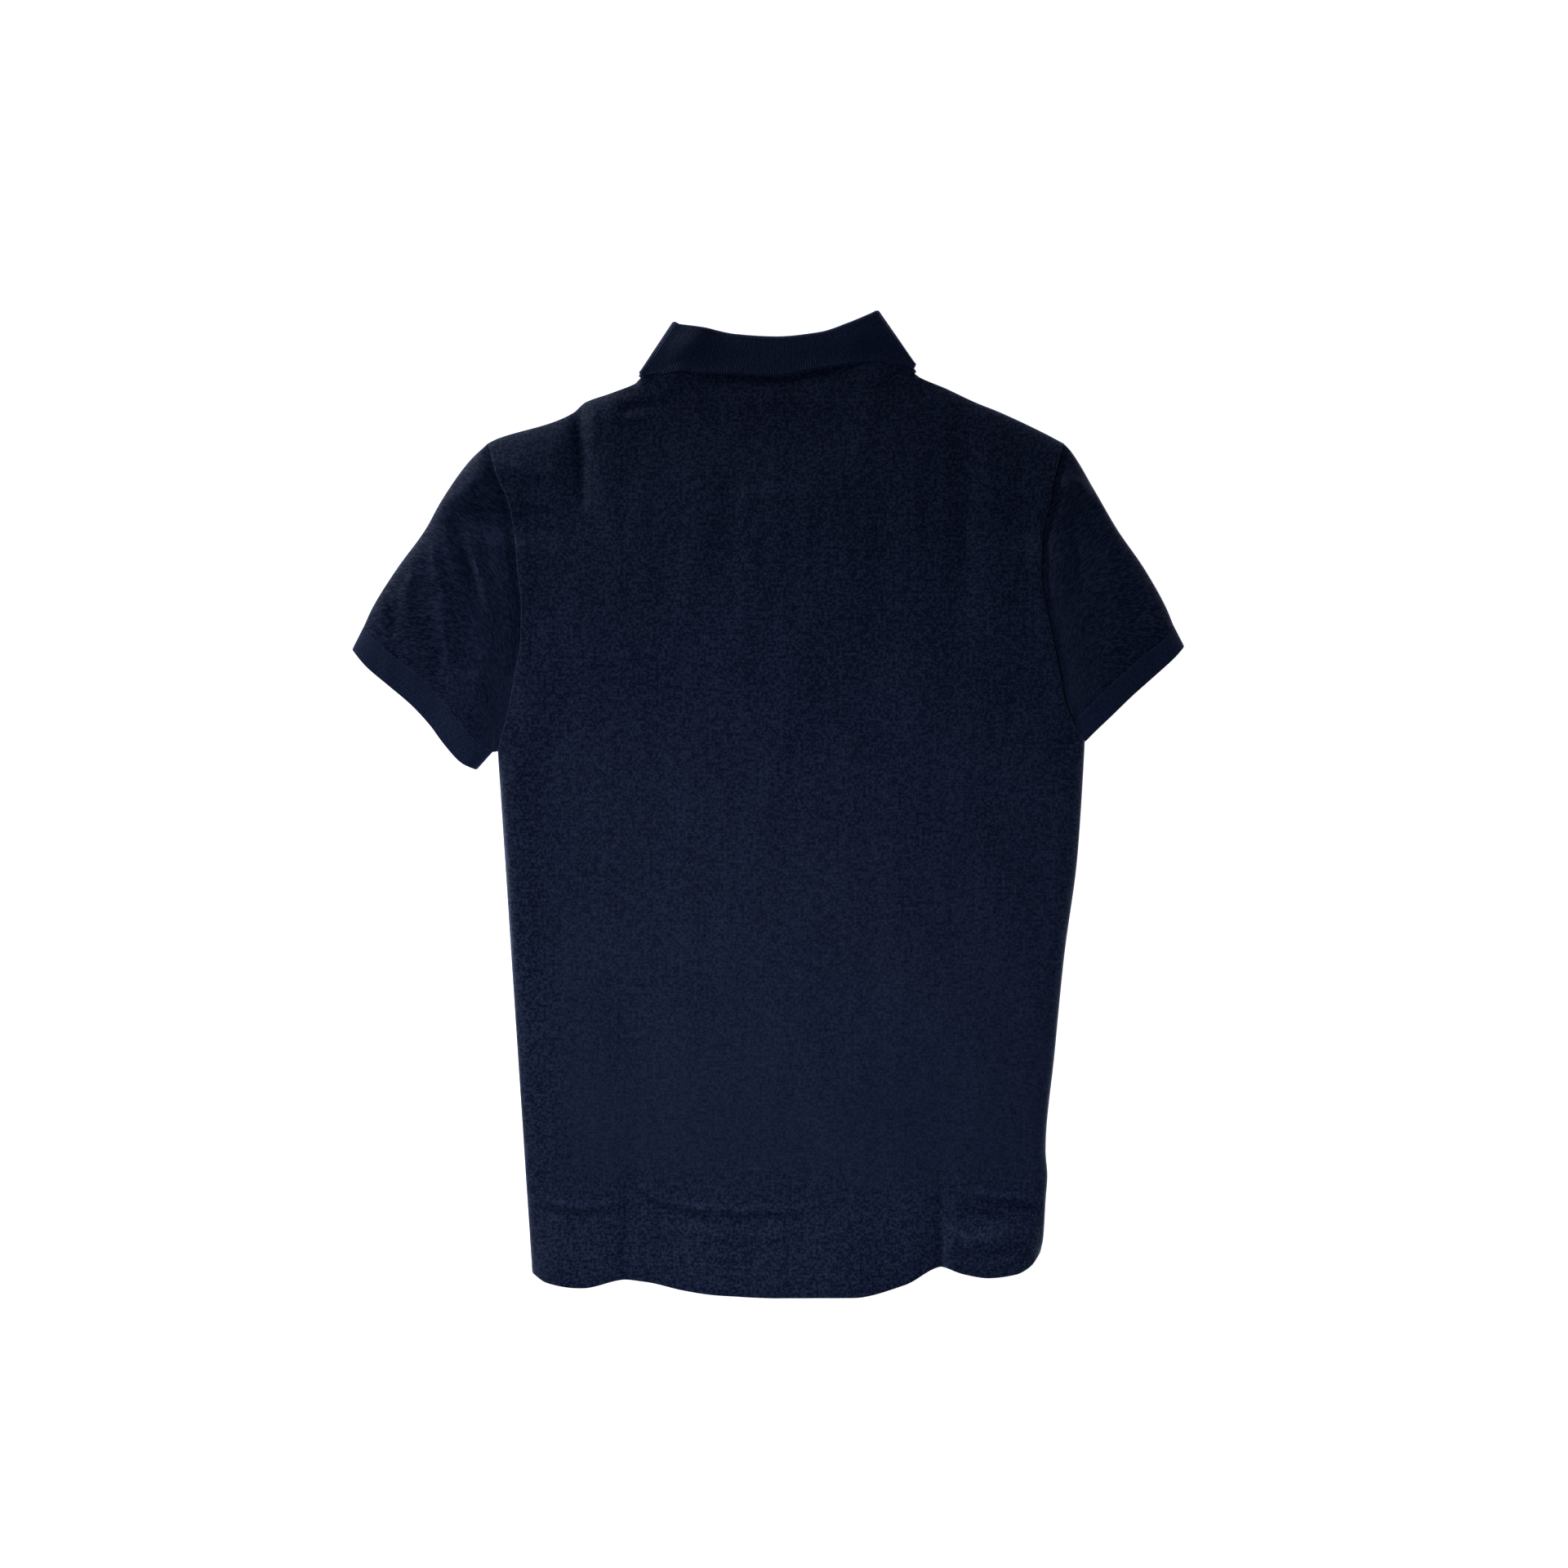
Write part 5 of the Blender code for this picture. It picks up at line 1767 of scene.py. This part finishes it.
@dataclass
class Sleeve:
    """One sleeve and its rib band: two flattened tubes, end to end."""

    layers: Layers
    wardrobe: Wardrobe
    pattern: SleevePattern
    seam_roll: float = 10.0
    floor_roll: float = 2.0
    seam_dip: float = 3.0
    seam_dip_width: float = 8.5
    band_dip: float = 0.5
    band_dip_width: float = 2.4
    band_width: float = 18.0
    length: float = 110.0
    sleeve_tuck: float = 1.7
    band_tuck: float = 2.4
    tuck_ply: float = 0.5
    tuck_slips: Pair = (3.0, 0.2)
    step_ahead: float = 0.03
    rim_start: float = 0.5
    band_rim_start: float = 0.06

    def armhole(self, share: Array) -> Array:
        """Places along the armhole, from the fold to the underarm.

        Args:
            share: Shares from 0 to 1.

        Returns:
            x and y in the last axis.
        """
        cut = self.layers.cut
        y = blend(self.pattern.fold[0].y, self.pattern.underarm_y, share)
        x = cut.armhole(self.pattern.side, y) + self.layers.knits.contact * self.pattern.side.value
        return np.stack([x, y], axis=-1)

    def sleeve_plan(self, share: Array, out: float) -> Array:
        """Places across the sleeve.

        Args:
            share: 0 at the fold, 1 at the underarm.
            out: 0 at the armhole, 1 at the band.

        Returns:
            x and y in the last axis.
        """
        seam = self.pattern.cuff_seam
        corners = [self.armhole(np.array(0.0)), self.armhole(np.array(1.0))]
        corners += [np.array(seam[0]), np.array(seam[-1])]
        fold = along((tuple(corners[0]), *self.pattern.fold[1:]), out)
        around = blend(self.armhole(share), along(seam, share), out)
        outward = blend(fold, blend(corners[1], corners[3], out), share[..., None])
        flat = blend(
            blend(corners[0], corners[1], share[..., None]),
            blend(corners[2], corners[3], share[..., None]),
            out,
        )
        return around + outward - flat

    def band_plan(self, share: Array, out: float) -> Array:
        """Places across the rib band, as sleeve_plan gives them, clear of the body.

        Args:
            share: 0 at the fold, 1 at the underarm.
            out: 0 at the seam, 1 at the free edge.

        Returns:
            x and y in the last axis.
        """
        pattern, sign = self.pattern, self.pattern.side.value
        place = blend(along(pattern.cuff_seam, share), along(pattern.cuff_edge, share), out)
        y = place[..., 1]
        body = self.layers.cut.armhole(pattern.side, y) + self.layers.knits.contact * sign
        beside = y > self.layers.cut.underarm_y[pattern.side.number]
        clear = sign * np.maximum(sign * place[..., 0], sign * body)
        return np.stack([np.where(beside, clear, place[..., 0]), y], axis=-1)

    def ring(self, tube: Tube, shares: Array, out: float, inset: float, slip: float) -> Array:
        """Points once round a tube: the lower half from the fold, then the upper half back to it.

        Args:
            tube: The tube.
            shares: Shares of the way across it.
            out: Share of its length.
            inset: Depth of the points under the outer face.
            slip: How far the ring is slipped back past the tube's start.

        Returns:
            One point for each share, twice but for the first and the last.
        """
        round_trip = np.concatenate([shares, shares[-2:0:-1]])
        upper = np.arange(len(round_trip)) >= len(shares)
        length = tube.width(out)
        distance = np.minimum(round_trip, 1 - round_trip) * length
        flat = tube.plan(round_trip, out)
        top = tube.crown(flat, out)
        tip = tube.thickness + self.layers.knits.seam
        fold_roll = self.layers.fold_rolls[self.pattern.side.number]
        rise = np.minimum(
            round_rise(round_trip * length / fold_roll),
            round_rise((1 - round_trip) * length / self.seam_roll),
        )
        high = tip + (top - tip - inset) * rise
        low = inset + (tip - inset) * fall(distance, self.floor_roll)
        within = (inset + round_trip * (length - 2 * inset)) / length
        place = tube.plan(within, out)
        if slip > 0:
            place = place + slip * unit(place - tube.plan(within, out + self.step_ahead))
        return np.column_stack([place, np.where(upper, high, low)])

    def wall(self, tube: Tube) -> ClothWall:
        """Wall of a flattened tube whose lower half lies on the ground.

        Its first rows are the seam allowance, which is tucked into the piece that it is sewn to.

        Args:
            tube: The tube.

        Returns:
            The wall.
        """
        shares = graded(tube.width(0.5), 0.3, 2.4)
        deep = tube.tuck_depth
        tuck = (deep, deep + self.tuck_ply)
        rows = [(tube.rows[0], tuck, slip, 1.0) for slip in self.tuck_slips]
        rows += [(out, (0.0, tube.thickness), 0.0, tube.rim(out)) for out in tube.rows]
        outer, inner, grain = [], [], []
        for out, insets, slip, full in rows:
            rings = [self.ring(tube, shares, out, inset, slip) for inset in insets]
            middle = (rings[0] + rings[1]) / 2
            outer.append(blend(middle, rings[0], full))
            inner.append(blend(middle, rings[1], full))
            around = run_of(np.vstack([rings[0], rings[0][:1]]))
            spine = tube.plan(np.array(0.5), out) - tube.plan(np.array(0.5), 0.0)
            ahead = float(np.linalg.norm(spine)) - slip
            grain.append(np.column_stack([around, np.full(len(around), ahead)]))
        return ClothWall(np.array(outer), np.array(inner), np.array(grain), wraps=True)

    def sleeve_crown(self, flat: Array, out: float) -> Array:
        """Height of the sleeve's upper face, which dips at the armhole seam and at the band.

        Args:
            flat: Places on the ground.
            out: Share of the sleeve's length.

        Returns:
            One height for each place.
        """
        x, y = flat[:, 0], flat[:, 1]
        seam, band = (self.sleeve_plan(np.linspace(0.0, 1.0, 40), end) for end in (0.0, 1.0))
        from_seam, _ = to_line(x, y, seam)
        from_band, _ = to_line(x, y, band)
        dip = self.seam_dip * fade(from_seam, self.seam_dip_width)
        dip = dip + self.band_dip * fall(from_band, self.band_dip_width)
        knits = self.layers.knits
        return np.maximum(self.layers.cloth_top(x, y) - dip, 2 * knits.pique + knits.seam)

    def band_crown(self, flat: Array, out: float) -> Array:
        """Height of the band's upper face, as sleeve_crown gives it.

        Args:
            flat: Places on the ground.
            out: Share of the band's length.

        Returns:
            One height for each place.
        """
        knits = self.layers.knits
        dip = self.band_dip * float(fall(out * self.band_width, self.band_dip_width))
        thicker = 2 * (knits.sleeve_rib - knits.pique)
        crown = self.layers.cloth_top(flat[:, 0], flat[:, 1]) + thicker - dip
        return np.maximum(crown, 2 * knits.sleeve_rib + knits.seam)

    def build(self) -> list[Piece]:
        """Build the sleeve and its band.

        Returns:
            The two pieces.
        """
        knits, pattern = self.layers.knits, self.pattern
        word = pattern.side.word
        length, width = self.length, self.band_width
        seam_share = knits.contact / width
        sleeve_tube = Tube(
            self.sleeve_plan, self.sleeve_crown, graded(length, 0.5, 2.4), knits.pique,
            lambda out: float(edge_round((1 - out) * length + self.rim_start, knits.pique)),
            self.sleeve_tuck,
        )
        band_tube = Tube(
            self.band_plan, self.band_crown,
            blend(seam_share, 1.0, graded(width, 0.25, 1.1)), knits.sleeve_rib,
            lambda out: float(edge_round(
                min(1 - out, out - seam_share + self.band_rim_start) * width, knits.sleeve_rib
            )),
            self.band_tuck,
        )
        wall, node = self.wall(sleeve_tube), f"sleeve_{word}"
        sleeve = cloth_piece(f"{word}_sleeve", wall, self.wardrobe.pique, "pique", node)
        wall, node = self.wall(band_tube), f"cuff_{word}"
        cuff = cloth_piece(f"{word}_sleeve_band", wall, self.wardrobe.rib, "rib", node)
        return [sleeve, cuff]


# ---- collar


class Station(NamedTuple):
    """One section of the collar: where it is sewn, folded and ends, its turn and its height."""

    seam: Array
    fold: Array
    edge: Array
    turn: float
    height: float


@dataclass
class Collar:
    """Collar: one rib strip round the neck, its stand inside and its leaf folded over."""

    layers: Layers
    wardrobe: Wardrobe
    end_gap: float = 2.3
    step: float = 1.5
    turn_steps: int = 17
    welt: float = 0.5
    welt_width: float = 2.6
    overlap: float = 0.8
    fold_rise: float = 0.55
    left_run: float = 88.0
    right_run: float = 93.0
    ply_width: float = 30.0
    roll_angles: int = 13
    leaf_rest: float = 0.3
    drop_from: float = 0.25

    def station(self, rows: Sequence[CollarRow], x: float, layer: Layer) -> Station:
        """Section on one table of rows, its seam just over the panel's edge.

        Args:
            rows: Table of the collar.
            x: x of the seam.
            layer: Panel that it is sewn to.

        Returns:
            The section.
        """
        cut = self.layers.cut
        before, here, after = (float(cut.top_y(np.array(x + d), layer)) for d in (-1, 0, 1))
        lift = -self.overlap * math.hypot(1.0, (after - before) / 2)
        fold, edge = (
            np.array([float(read(rows, f"{end}_{axis}", x, by="seam_x")) for axis in "xy"])
            for end in ("fold", "edge")
        )
        height = self.layers.turn_height
        if layer is Layer.BACK:
            height = float(self.layers.collar_centre(np.array(x)))
        return Station(np.array([x, here + lift]), fold, edge, layer.value, height)

    def half_turn(self, start: Station, end: Station) -> list[Station]:
        """Sections of the turn at one side of the neck.

        Args:
            start: Section before the turn.
            end: Section after it.

        Returns:
            The sections between them.
        """
        found = []
        for number in range(1, self.turn_steps):
            places = (blend(*ends, number / self.turn_steps) for ends in zip(start[:4], end))
            found.append(Station(*places, self.layers.turn_height))
        return found

    def stations(self) -> list[Station]:
        """Sections round the whole neck, from one front end to the other.

        Returns:
            The sections in order.
        """
        cut = self.layers.cut
        low, high = cut.neck_x
        back_x = np.linspace(low, high, int((high - low) / self.step) + 1)
        left_share = graded(self.left_run, 0.4, 1.5, low=False)
        right_share = graded(self.right_run, 0.4, 1.5, high=False)
        left_x = blend(low, cut.centre_front - self.end_gap, left_share)
        right_x = blend(cut.centre_front + self.end_gap, high, right_share)
        back = [self.station(cut.collar_back, x, Layer.BACK) for x in back_x]
        left = [self.station(cut.collar_front_left, x, Layer.FRONT) for x in left_x[::-1]]
        right = [self.station(cut.collar_front_right, x, Layer.FRONT) for x in right_x[::-1]]
        left_turn = self.half_turn(left[-1], back[0])
        right_turn = self.half_turn(back[-1], right[0])
        return left + left_turn + back + right_turn + right

    def section(self, place: Station) -> tuple[Array, Array, Array]:
        """Middle line and normals of one section: stand, roll and leaf.

        Args:
            place: The section.

        Returns:
            The points, their normals and the distance from the leaf's free edge.
        """
        layers = self.layers
        turn = math.radians(place.turn)
        down = place.edge - place.fold
        outward = np.array([-down[1], down[0]]) / np.linalg.norm(down)
        from_centre = place.fold[0] - layers.cut.centre_front
        outward = outward * math.copysign(1.0, outward[0] * from_centre)
        up = np.array([*(place.fold - place.seam), 0.0])
        up = up / np.linalg.norm(up)
        radial = np.array([*(outward * math.cos(turn)), math.sin(turn)])
        middle = (layers.stand_radius + layers.leaf_radius) / 2
        roll = (layers.leaf_radius - layers.stand_radius) / 2
        seam, fold, edge = (np.array([*at, place.height]) for at in place[:3])
        fold[2] += self.fold_rise * max(layers.turn_height - place.height, 0.0)
        stand_share = graded(self.ply_width, 0.4, 2.6, high=False)[:, None]
        leaf_share = graded(self.ply_width, 0.3, 1.2, low=False)[:, None]
        angle = np.radians(np.linspace(0.0, 180.0, self.roll_angles)[1:-1])[:, None]
        bend = np.sin(angle) * up - np.cos(angle) * radial
        leaf = blend(fold, edge, leaf_share) + layers.leaf_radius * radial
        drop = max(math.sin(turn), 0.0) ** 2
        if drop > 0:
            rest = layers.cloth_top(leaf[:, 0], leaf[:, 1]) + layers.knits.collar_rib / 2
            spare = np.maximum(leaf[:, 2] - (rest + self.leaf_rest), 0.0)
            dropped = ease((leaf_share[:, 0] - self.drop_from) / (1 - self.drop_from))
            leaf[:, 2] -= spare * drop * dropped
        line = np.concatenate([
            blend(seam, fold, stand_share) + layers.stand_radius * radial,
            fold + middle * radial + roll * bend,
            leaf,
        ])
        normals = np.concatenate([
            np.broadcast_to(-radial, (len(stand_share), 3)),
            bend,
            np.broadcast_to(radial, (len(leaf_share), 3)),
        ])
        from_edge = np.full(len(line), np.inf)
        from_edge[-len(leaf_share):] = (1 - leaf_share[:, 0]) * np.linalg.norm(down)
        return line, normals, from_edge

    def build(self) -> list[Piece]:
        """Build the collar.

        Returns:
            The piece.
        """
        rib = self.layers.knits.collar_rib
        line, normal, from_edge = (
            np.array(parts) for parts in zip(*(self.section(at) for at in self.stations()))
        )
        along_neck = run_of(line[:, len(line[0]) // 2])
        from_end = np.minimum(along_neck, along_neck[-1] - along_neck)[:, None]
        thick = rib + self.welt * bump(from_edge - self.welt_width / 2, self.welt_width / 2)
        thick = thick * np.minimum(edge_round(from_edge, rib), edge_round(from_end, rib))
        across = np.concatenate(
            [np.zeros((len(line), 1)), np.linalg.norm(np.diff(line, axis=1), axis=2)], axis=1
        ).cumsum(axis=1)
        grain = np.stack([np.broadcast_to(along_neck[:, None], across.shape), across], axis=-1)
        wall = ClothWall(*ply(line, normal, thick), grain)
        piece = cloth_piece("rib_collar", wall, self.wardrobe.rib, "rib", "collar")
        return [piece]


# ---- buttons


@dataclass
class Buttons:
    """Three four-hole buttons under the placket, sewn on with a cross of thread."""

    layers: Layers
    wardrobe: Wardrobe
    heights: tuple[tuple[str, float], ...] = (
        ("button_top", 206.5), ("button_mid", 150.0), ("button_low", 93.5),
    )
    radius: float = 5.75
    thickness: float = 2.2
    edge: float = 0.6
    well_radius: float = 3.7
    well_depth: float = 0.45
    hole_radius: float = 0.75
    hole_place: float = 1.25
    well_slope: float = 0.6
    lip: Pair = (0.4, 0.06)
    sides: int = 64
    hole_sides: int = 20
    drill_length: float = 6.0
    crisp: float = 35.0
    thread_radius: float = 0.17
    thread_shift: float = 0.2
    thread_sink: float = 0.12
    dive: float = 0.9
    dive_from: float = 0.75

    def profile(self) -> list[Pair]:
        """Radius and height down the outside, its face to the ground.

        Returns:
            Radius and height of each corner.
        """
        arc = [math.radians(turn) for turn in range(0, 91, 15)]
        edge, flat = self.edge, self.radius - self.edge
        rim = [(flat + edge * math.sin(a), edge - edge * math.cos(a)) for a in arc]
        high = self.thickness - edge
        back = [(flat + edge * math.cos(a), high + edge * math.sin(a)) for a in arc]
        well = [(0.0, self.well_depth), (self.well_radius - self.well_slope, self.well_depth)]
        slope = [(self.well_radius, self.lip[1]), (self.well_radius + self.lip[0], 0.0)]
        return well + slope + rim + back + [(0.0, self.thickness)]

    def disc(self, name: str) -> Piece:
        """Turn the button's outline, closed at both poles.

        Args:
            name: Name of the piece.

        Returns:
            The disc.
        """
        profile = self.profile()
        turns = np.arange(self.sides) / self.sides * 2 * math.pi
        rings = [
            np.column_stack([r * np.cos(turns), r * np.sin(turns), np.full(self.sides, z)])
            for r, z in profile[1:-1]
        ]
        poles = np.array([(0.0, 0.0, profile[0][1]), (0.0, 0.0, profile[-1][1])])
        corners = np.concatenate([poles, *rings]) * MM
        pairs = [(a, (a + 1) % self.sides) for a in range(self.sides)]
        starts = [2 + ring * self.sides for ring in range(len(rings))]
        faces = [(0, starts[0] + b, starts[0] + a) for a, b in pairs]
        for low, high in zip(starts, starts[1:]):
            faces += [(low + a, low + b, high + b, high + a) for a, b in pairs]
        faces += [(1, starts[-1] + a, starts[-1] + b) for a, b in pairs]
        mesh = bpy.data.meshes.new(name)
        mesh.from_pydata(corners.tolist(), [], faces)
        return put_in(name, mesh)

    def drill(self, button: Piece) -> None:
        """Cut the four holes through a button.

        Args:
            button: The disc.
        """
        cutters = []
        for quarter in range(4):
            turn = math.radians(45 + 90 * quarter)
            place = Vector((math.cos(turn), math.sin(turn), 0.0)) * self.hole_place * MM
            bpy.ops.mesh.primitive_cylinder_add(
                vertices=self.hole_sides, radius=self.hole_radius * MM,
                depth=self.drill_length * MM,
                location=place + Vector((0.0, 0.0, self.thickness * MM / 2)),
            )
            cutter = bpy.context.object
            cut = button.modifiers.new("hole", "BOOLEAN")
            cut.object = cutter
            cutters.append(cutter)
        drilled = button.evaluated_get(bpy.context.evaluated_depsgraph_get())
        mesh = bpy.data.meshes.new_from_object(drilled)
        button.modifiers.clear()
        button.data = mesh
        for cutter in cutters:
            bpy.data.objects.remove(cutter, do_unlink=True)
        mesh.shade_smooth()
        mesh.set_sharp_from_angle(angle=math.radians(self.crisp))

    def thread_cross(self, name: str, centre: Vector) -> Piece:
        """Two crossed threads over the well, each of them sewn twice.

        Args:
            name: Name of the piece.
            centre: Middle of the button's face.

        Returns:
            The threads.
        """
        reach = self.hole_place
        rows = []
        for turn in (45, 135):
            ahead = np.array([math.cos(math.radians(turn)), math.sin(math.radians(turn)), 0.0])
            aside = np.array([-ahead[1], ahead[0], 0.0])
            for shift in (-self.thread_shift, self.thread_shift):
                share = np.linspace(-1.0, 1.0, 9)[:, None]
                down = np.maximum(np.abs(share) - self.dive_from, 0.0) / (1 - self.dive_from)
                dive = self.dive * down
                line = share * reach * ahead + shift * aside + np.array([0.0, 0.0, 1.0]) * dive
                rows.append((line, np.broadcast_to([0.0, 0.0, -1.0], line.shape)))
        stitch = StitchRow(2 * reach, 2 * reach, self.thread_radius, arch=0.08, rings=9)
        threads = sew(name, rows, self.wardrobe.thread, stitch)
        threads.data.transform(Matrix.Translation(centre))
        return threads

    def build(self) -> list[Piece]:
        """Build the buttons and their threads.

        Returns:
            The pieces.
        """
        pieces = []
        for node, y in self.heights:
            button = self.disc(f"{node}_disc")
            self.drill(button)
            place = Vector((self.layers.cut.centre_front, y, 0.0)) * MM
            button.data.transform(Matrix.Translation(place))
            button.data.materials.clear()
            button.data.materials.append(self.wardrobe.resin)
            pieces.append(mount_piece(button, "button", node))
            face = place + Vector((0.0, 0.0, (self.well_depth - self.thread_sink) * MM))
            threads = self.thread_cross(f"{node}_thread", face)
            pieces.append(mount_piece(threads, "pique"))
        return pieces


# ---- studio


@dataclass(frozen=True)
class SoftBox:
    """A square soft light: where it stands, what it points at, its power, beam and side.

    A matt light is not mirrored by the fibres.
    """

    name: str
    place: tuple[float, float, float]
    aim: tuple[float, float, float]
    power: float
    beam: float = 180.0
    matt: bool = False
    side: float = 0.4

    def add(self) -> Piece:
        """Set the light up, unseen by the camera.

        Returns:
            The lamp.
        """
        light = bpy.data.lights.new(self.name, "AREA")
        light.shape = "SQUARE"
        light.size = self.side
        light.energy = self.power
        light.spread = math.radians(self.beam)
        lamp = put_in(self.name, light)
        lamp.location = self.place
        ahead = Vector(self.aim) - Vector(self.place)
        lamp.rotation_euler = ahead.to_track_quat("-Z", "Y").to_euler()
        lamp.visible_camera = False
        lamp.visible_glossy = not self.matt
        return lamp


@dataclass
class Studio:
    """Pale floor, soft lights above and low all round, and a camera straight above."""

    view_width: float = 1.1136
    view_centre: Pair = (0.0113, 0.0139)
    cloth_level: float = 0.006
    lens: float = 85.0
    film: float = 36.0
    floor_side: float = 12.0
    floor_drop: float = 0.05
    sky_colour: Colour = (0.39, 0.52, 1.0)
    sky: float = 0.06
    boxes: tuple[SoftBox, ...] = (
        SoftBox("key_box", (-0.084, -0.03, 0.627), (-0.128, -0.731, 0.0), 3.1, matt=True),
        SoftBox("lower_box", (-0.05, -0.25, 0.90), (-0.05, -0.35, 0.0), 0.34, 70.0, matt=True),
        SoftBox("low_left_box", (-0.80, 0.80, 0.12), (-0.20, 0.0, 0.0), 10.0),
        SoftBox("low_far_box", (0.05, 1.15, 0.12), (0.0, 0.20, 0.0), 1.0),
        SoftBox("low_right_box", (1.15, 0.25, 0.12), (0.20, 0.0, 0.0), 1.6),
    )

    def add_camera(self) -> None:
        """Put the camera above the shirt, its top edge towards the collar."""
        data = bpy.data.cameras.new("camera")
        data.sensor_width = self.film
        data.lens = self.lens
        data.clip_end = 60.0
        camera = put_in("camera", data)
        away = self.view_width * self.lens / self.film
        camera.location = (*self.view_centre, self.cloth_level + away)
        bpy.context.scene.camera = camera

    def add_floor(self) -> None:
        """Lay the studio paper under the shirt."""
        half = self.floor_side / 2
        corners = [(-half, -half, 0.0), (half, -half, 0.0), (half, half, 0.0), (-half, half, 0.0)]
        mesh = bpy.data.meshes.new("studio_floor")
        mesh.from_pydata(corners, [], [(0, 1, 2, 3)])
        floor = make_object("studio_floor", mesh, FloorFinish().make())
        floor.location.z = -self.floor_drop * MM

    def add_lights(self) -> None:
        """Set up the soft boxes and an even cool sky."""
        for box in self.boxes:
            box.add()
        world = bpy.data.worlds.new("studio_sky")
        world.use_nodes = True
        sky = world.node_tree.nodes["Background"]
        sky.inputs["Color"].default_value = (*self.sky_colour, 1.0)
        sky.inputs["Strength"].default_value = self.sky
        bpy.context.scene.world = world

    def build(self) -> None:
        """Set the studio up."""
        self.add_camera()
        self.add_floor()
        self.add_lights()
        bpy.context.scene.view_settings.view_transform = "Standard"


def main() -> None:
    """Build the shirt piece by piece, and the studio round it."""
    logging.basicConfig(level=logging.INFO, format="%(message)s")
    Studio().build()
    wardrobe = Wardrobe.stock()
    layers = Layers()
    parts = [
        BackPanel(layers, wardrobe),
        FrontPanel(layers, wardrobe),
        Sleeve(layers, wardrobe, LEFT_SLEEVE),
        Sleeve(layers, wardrobe, RIGHT_SLEEVE),
        Collar(layers, wardrobe),
        Buttons(layers, wardrobe),
    ]
    for part in parts:
        pieces = part.build()
        LOG.info("built %s", ", ".join(piece.name for piece in pieces))


if __name__ == "__main__":
    main()
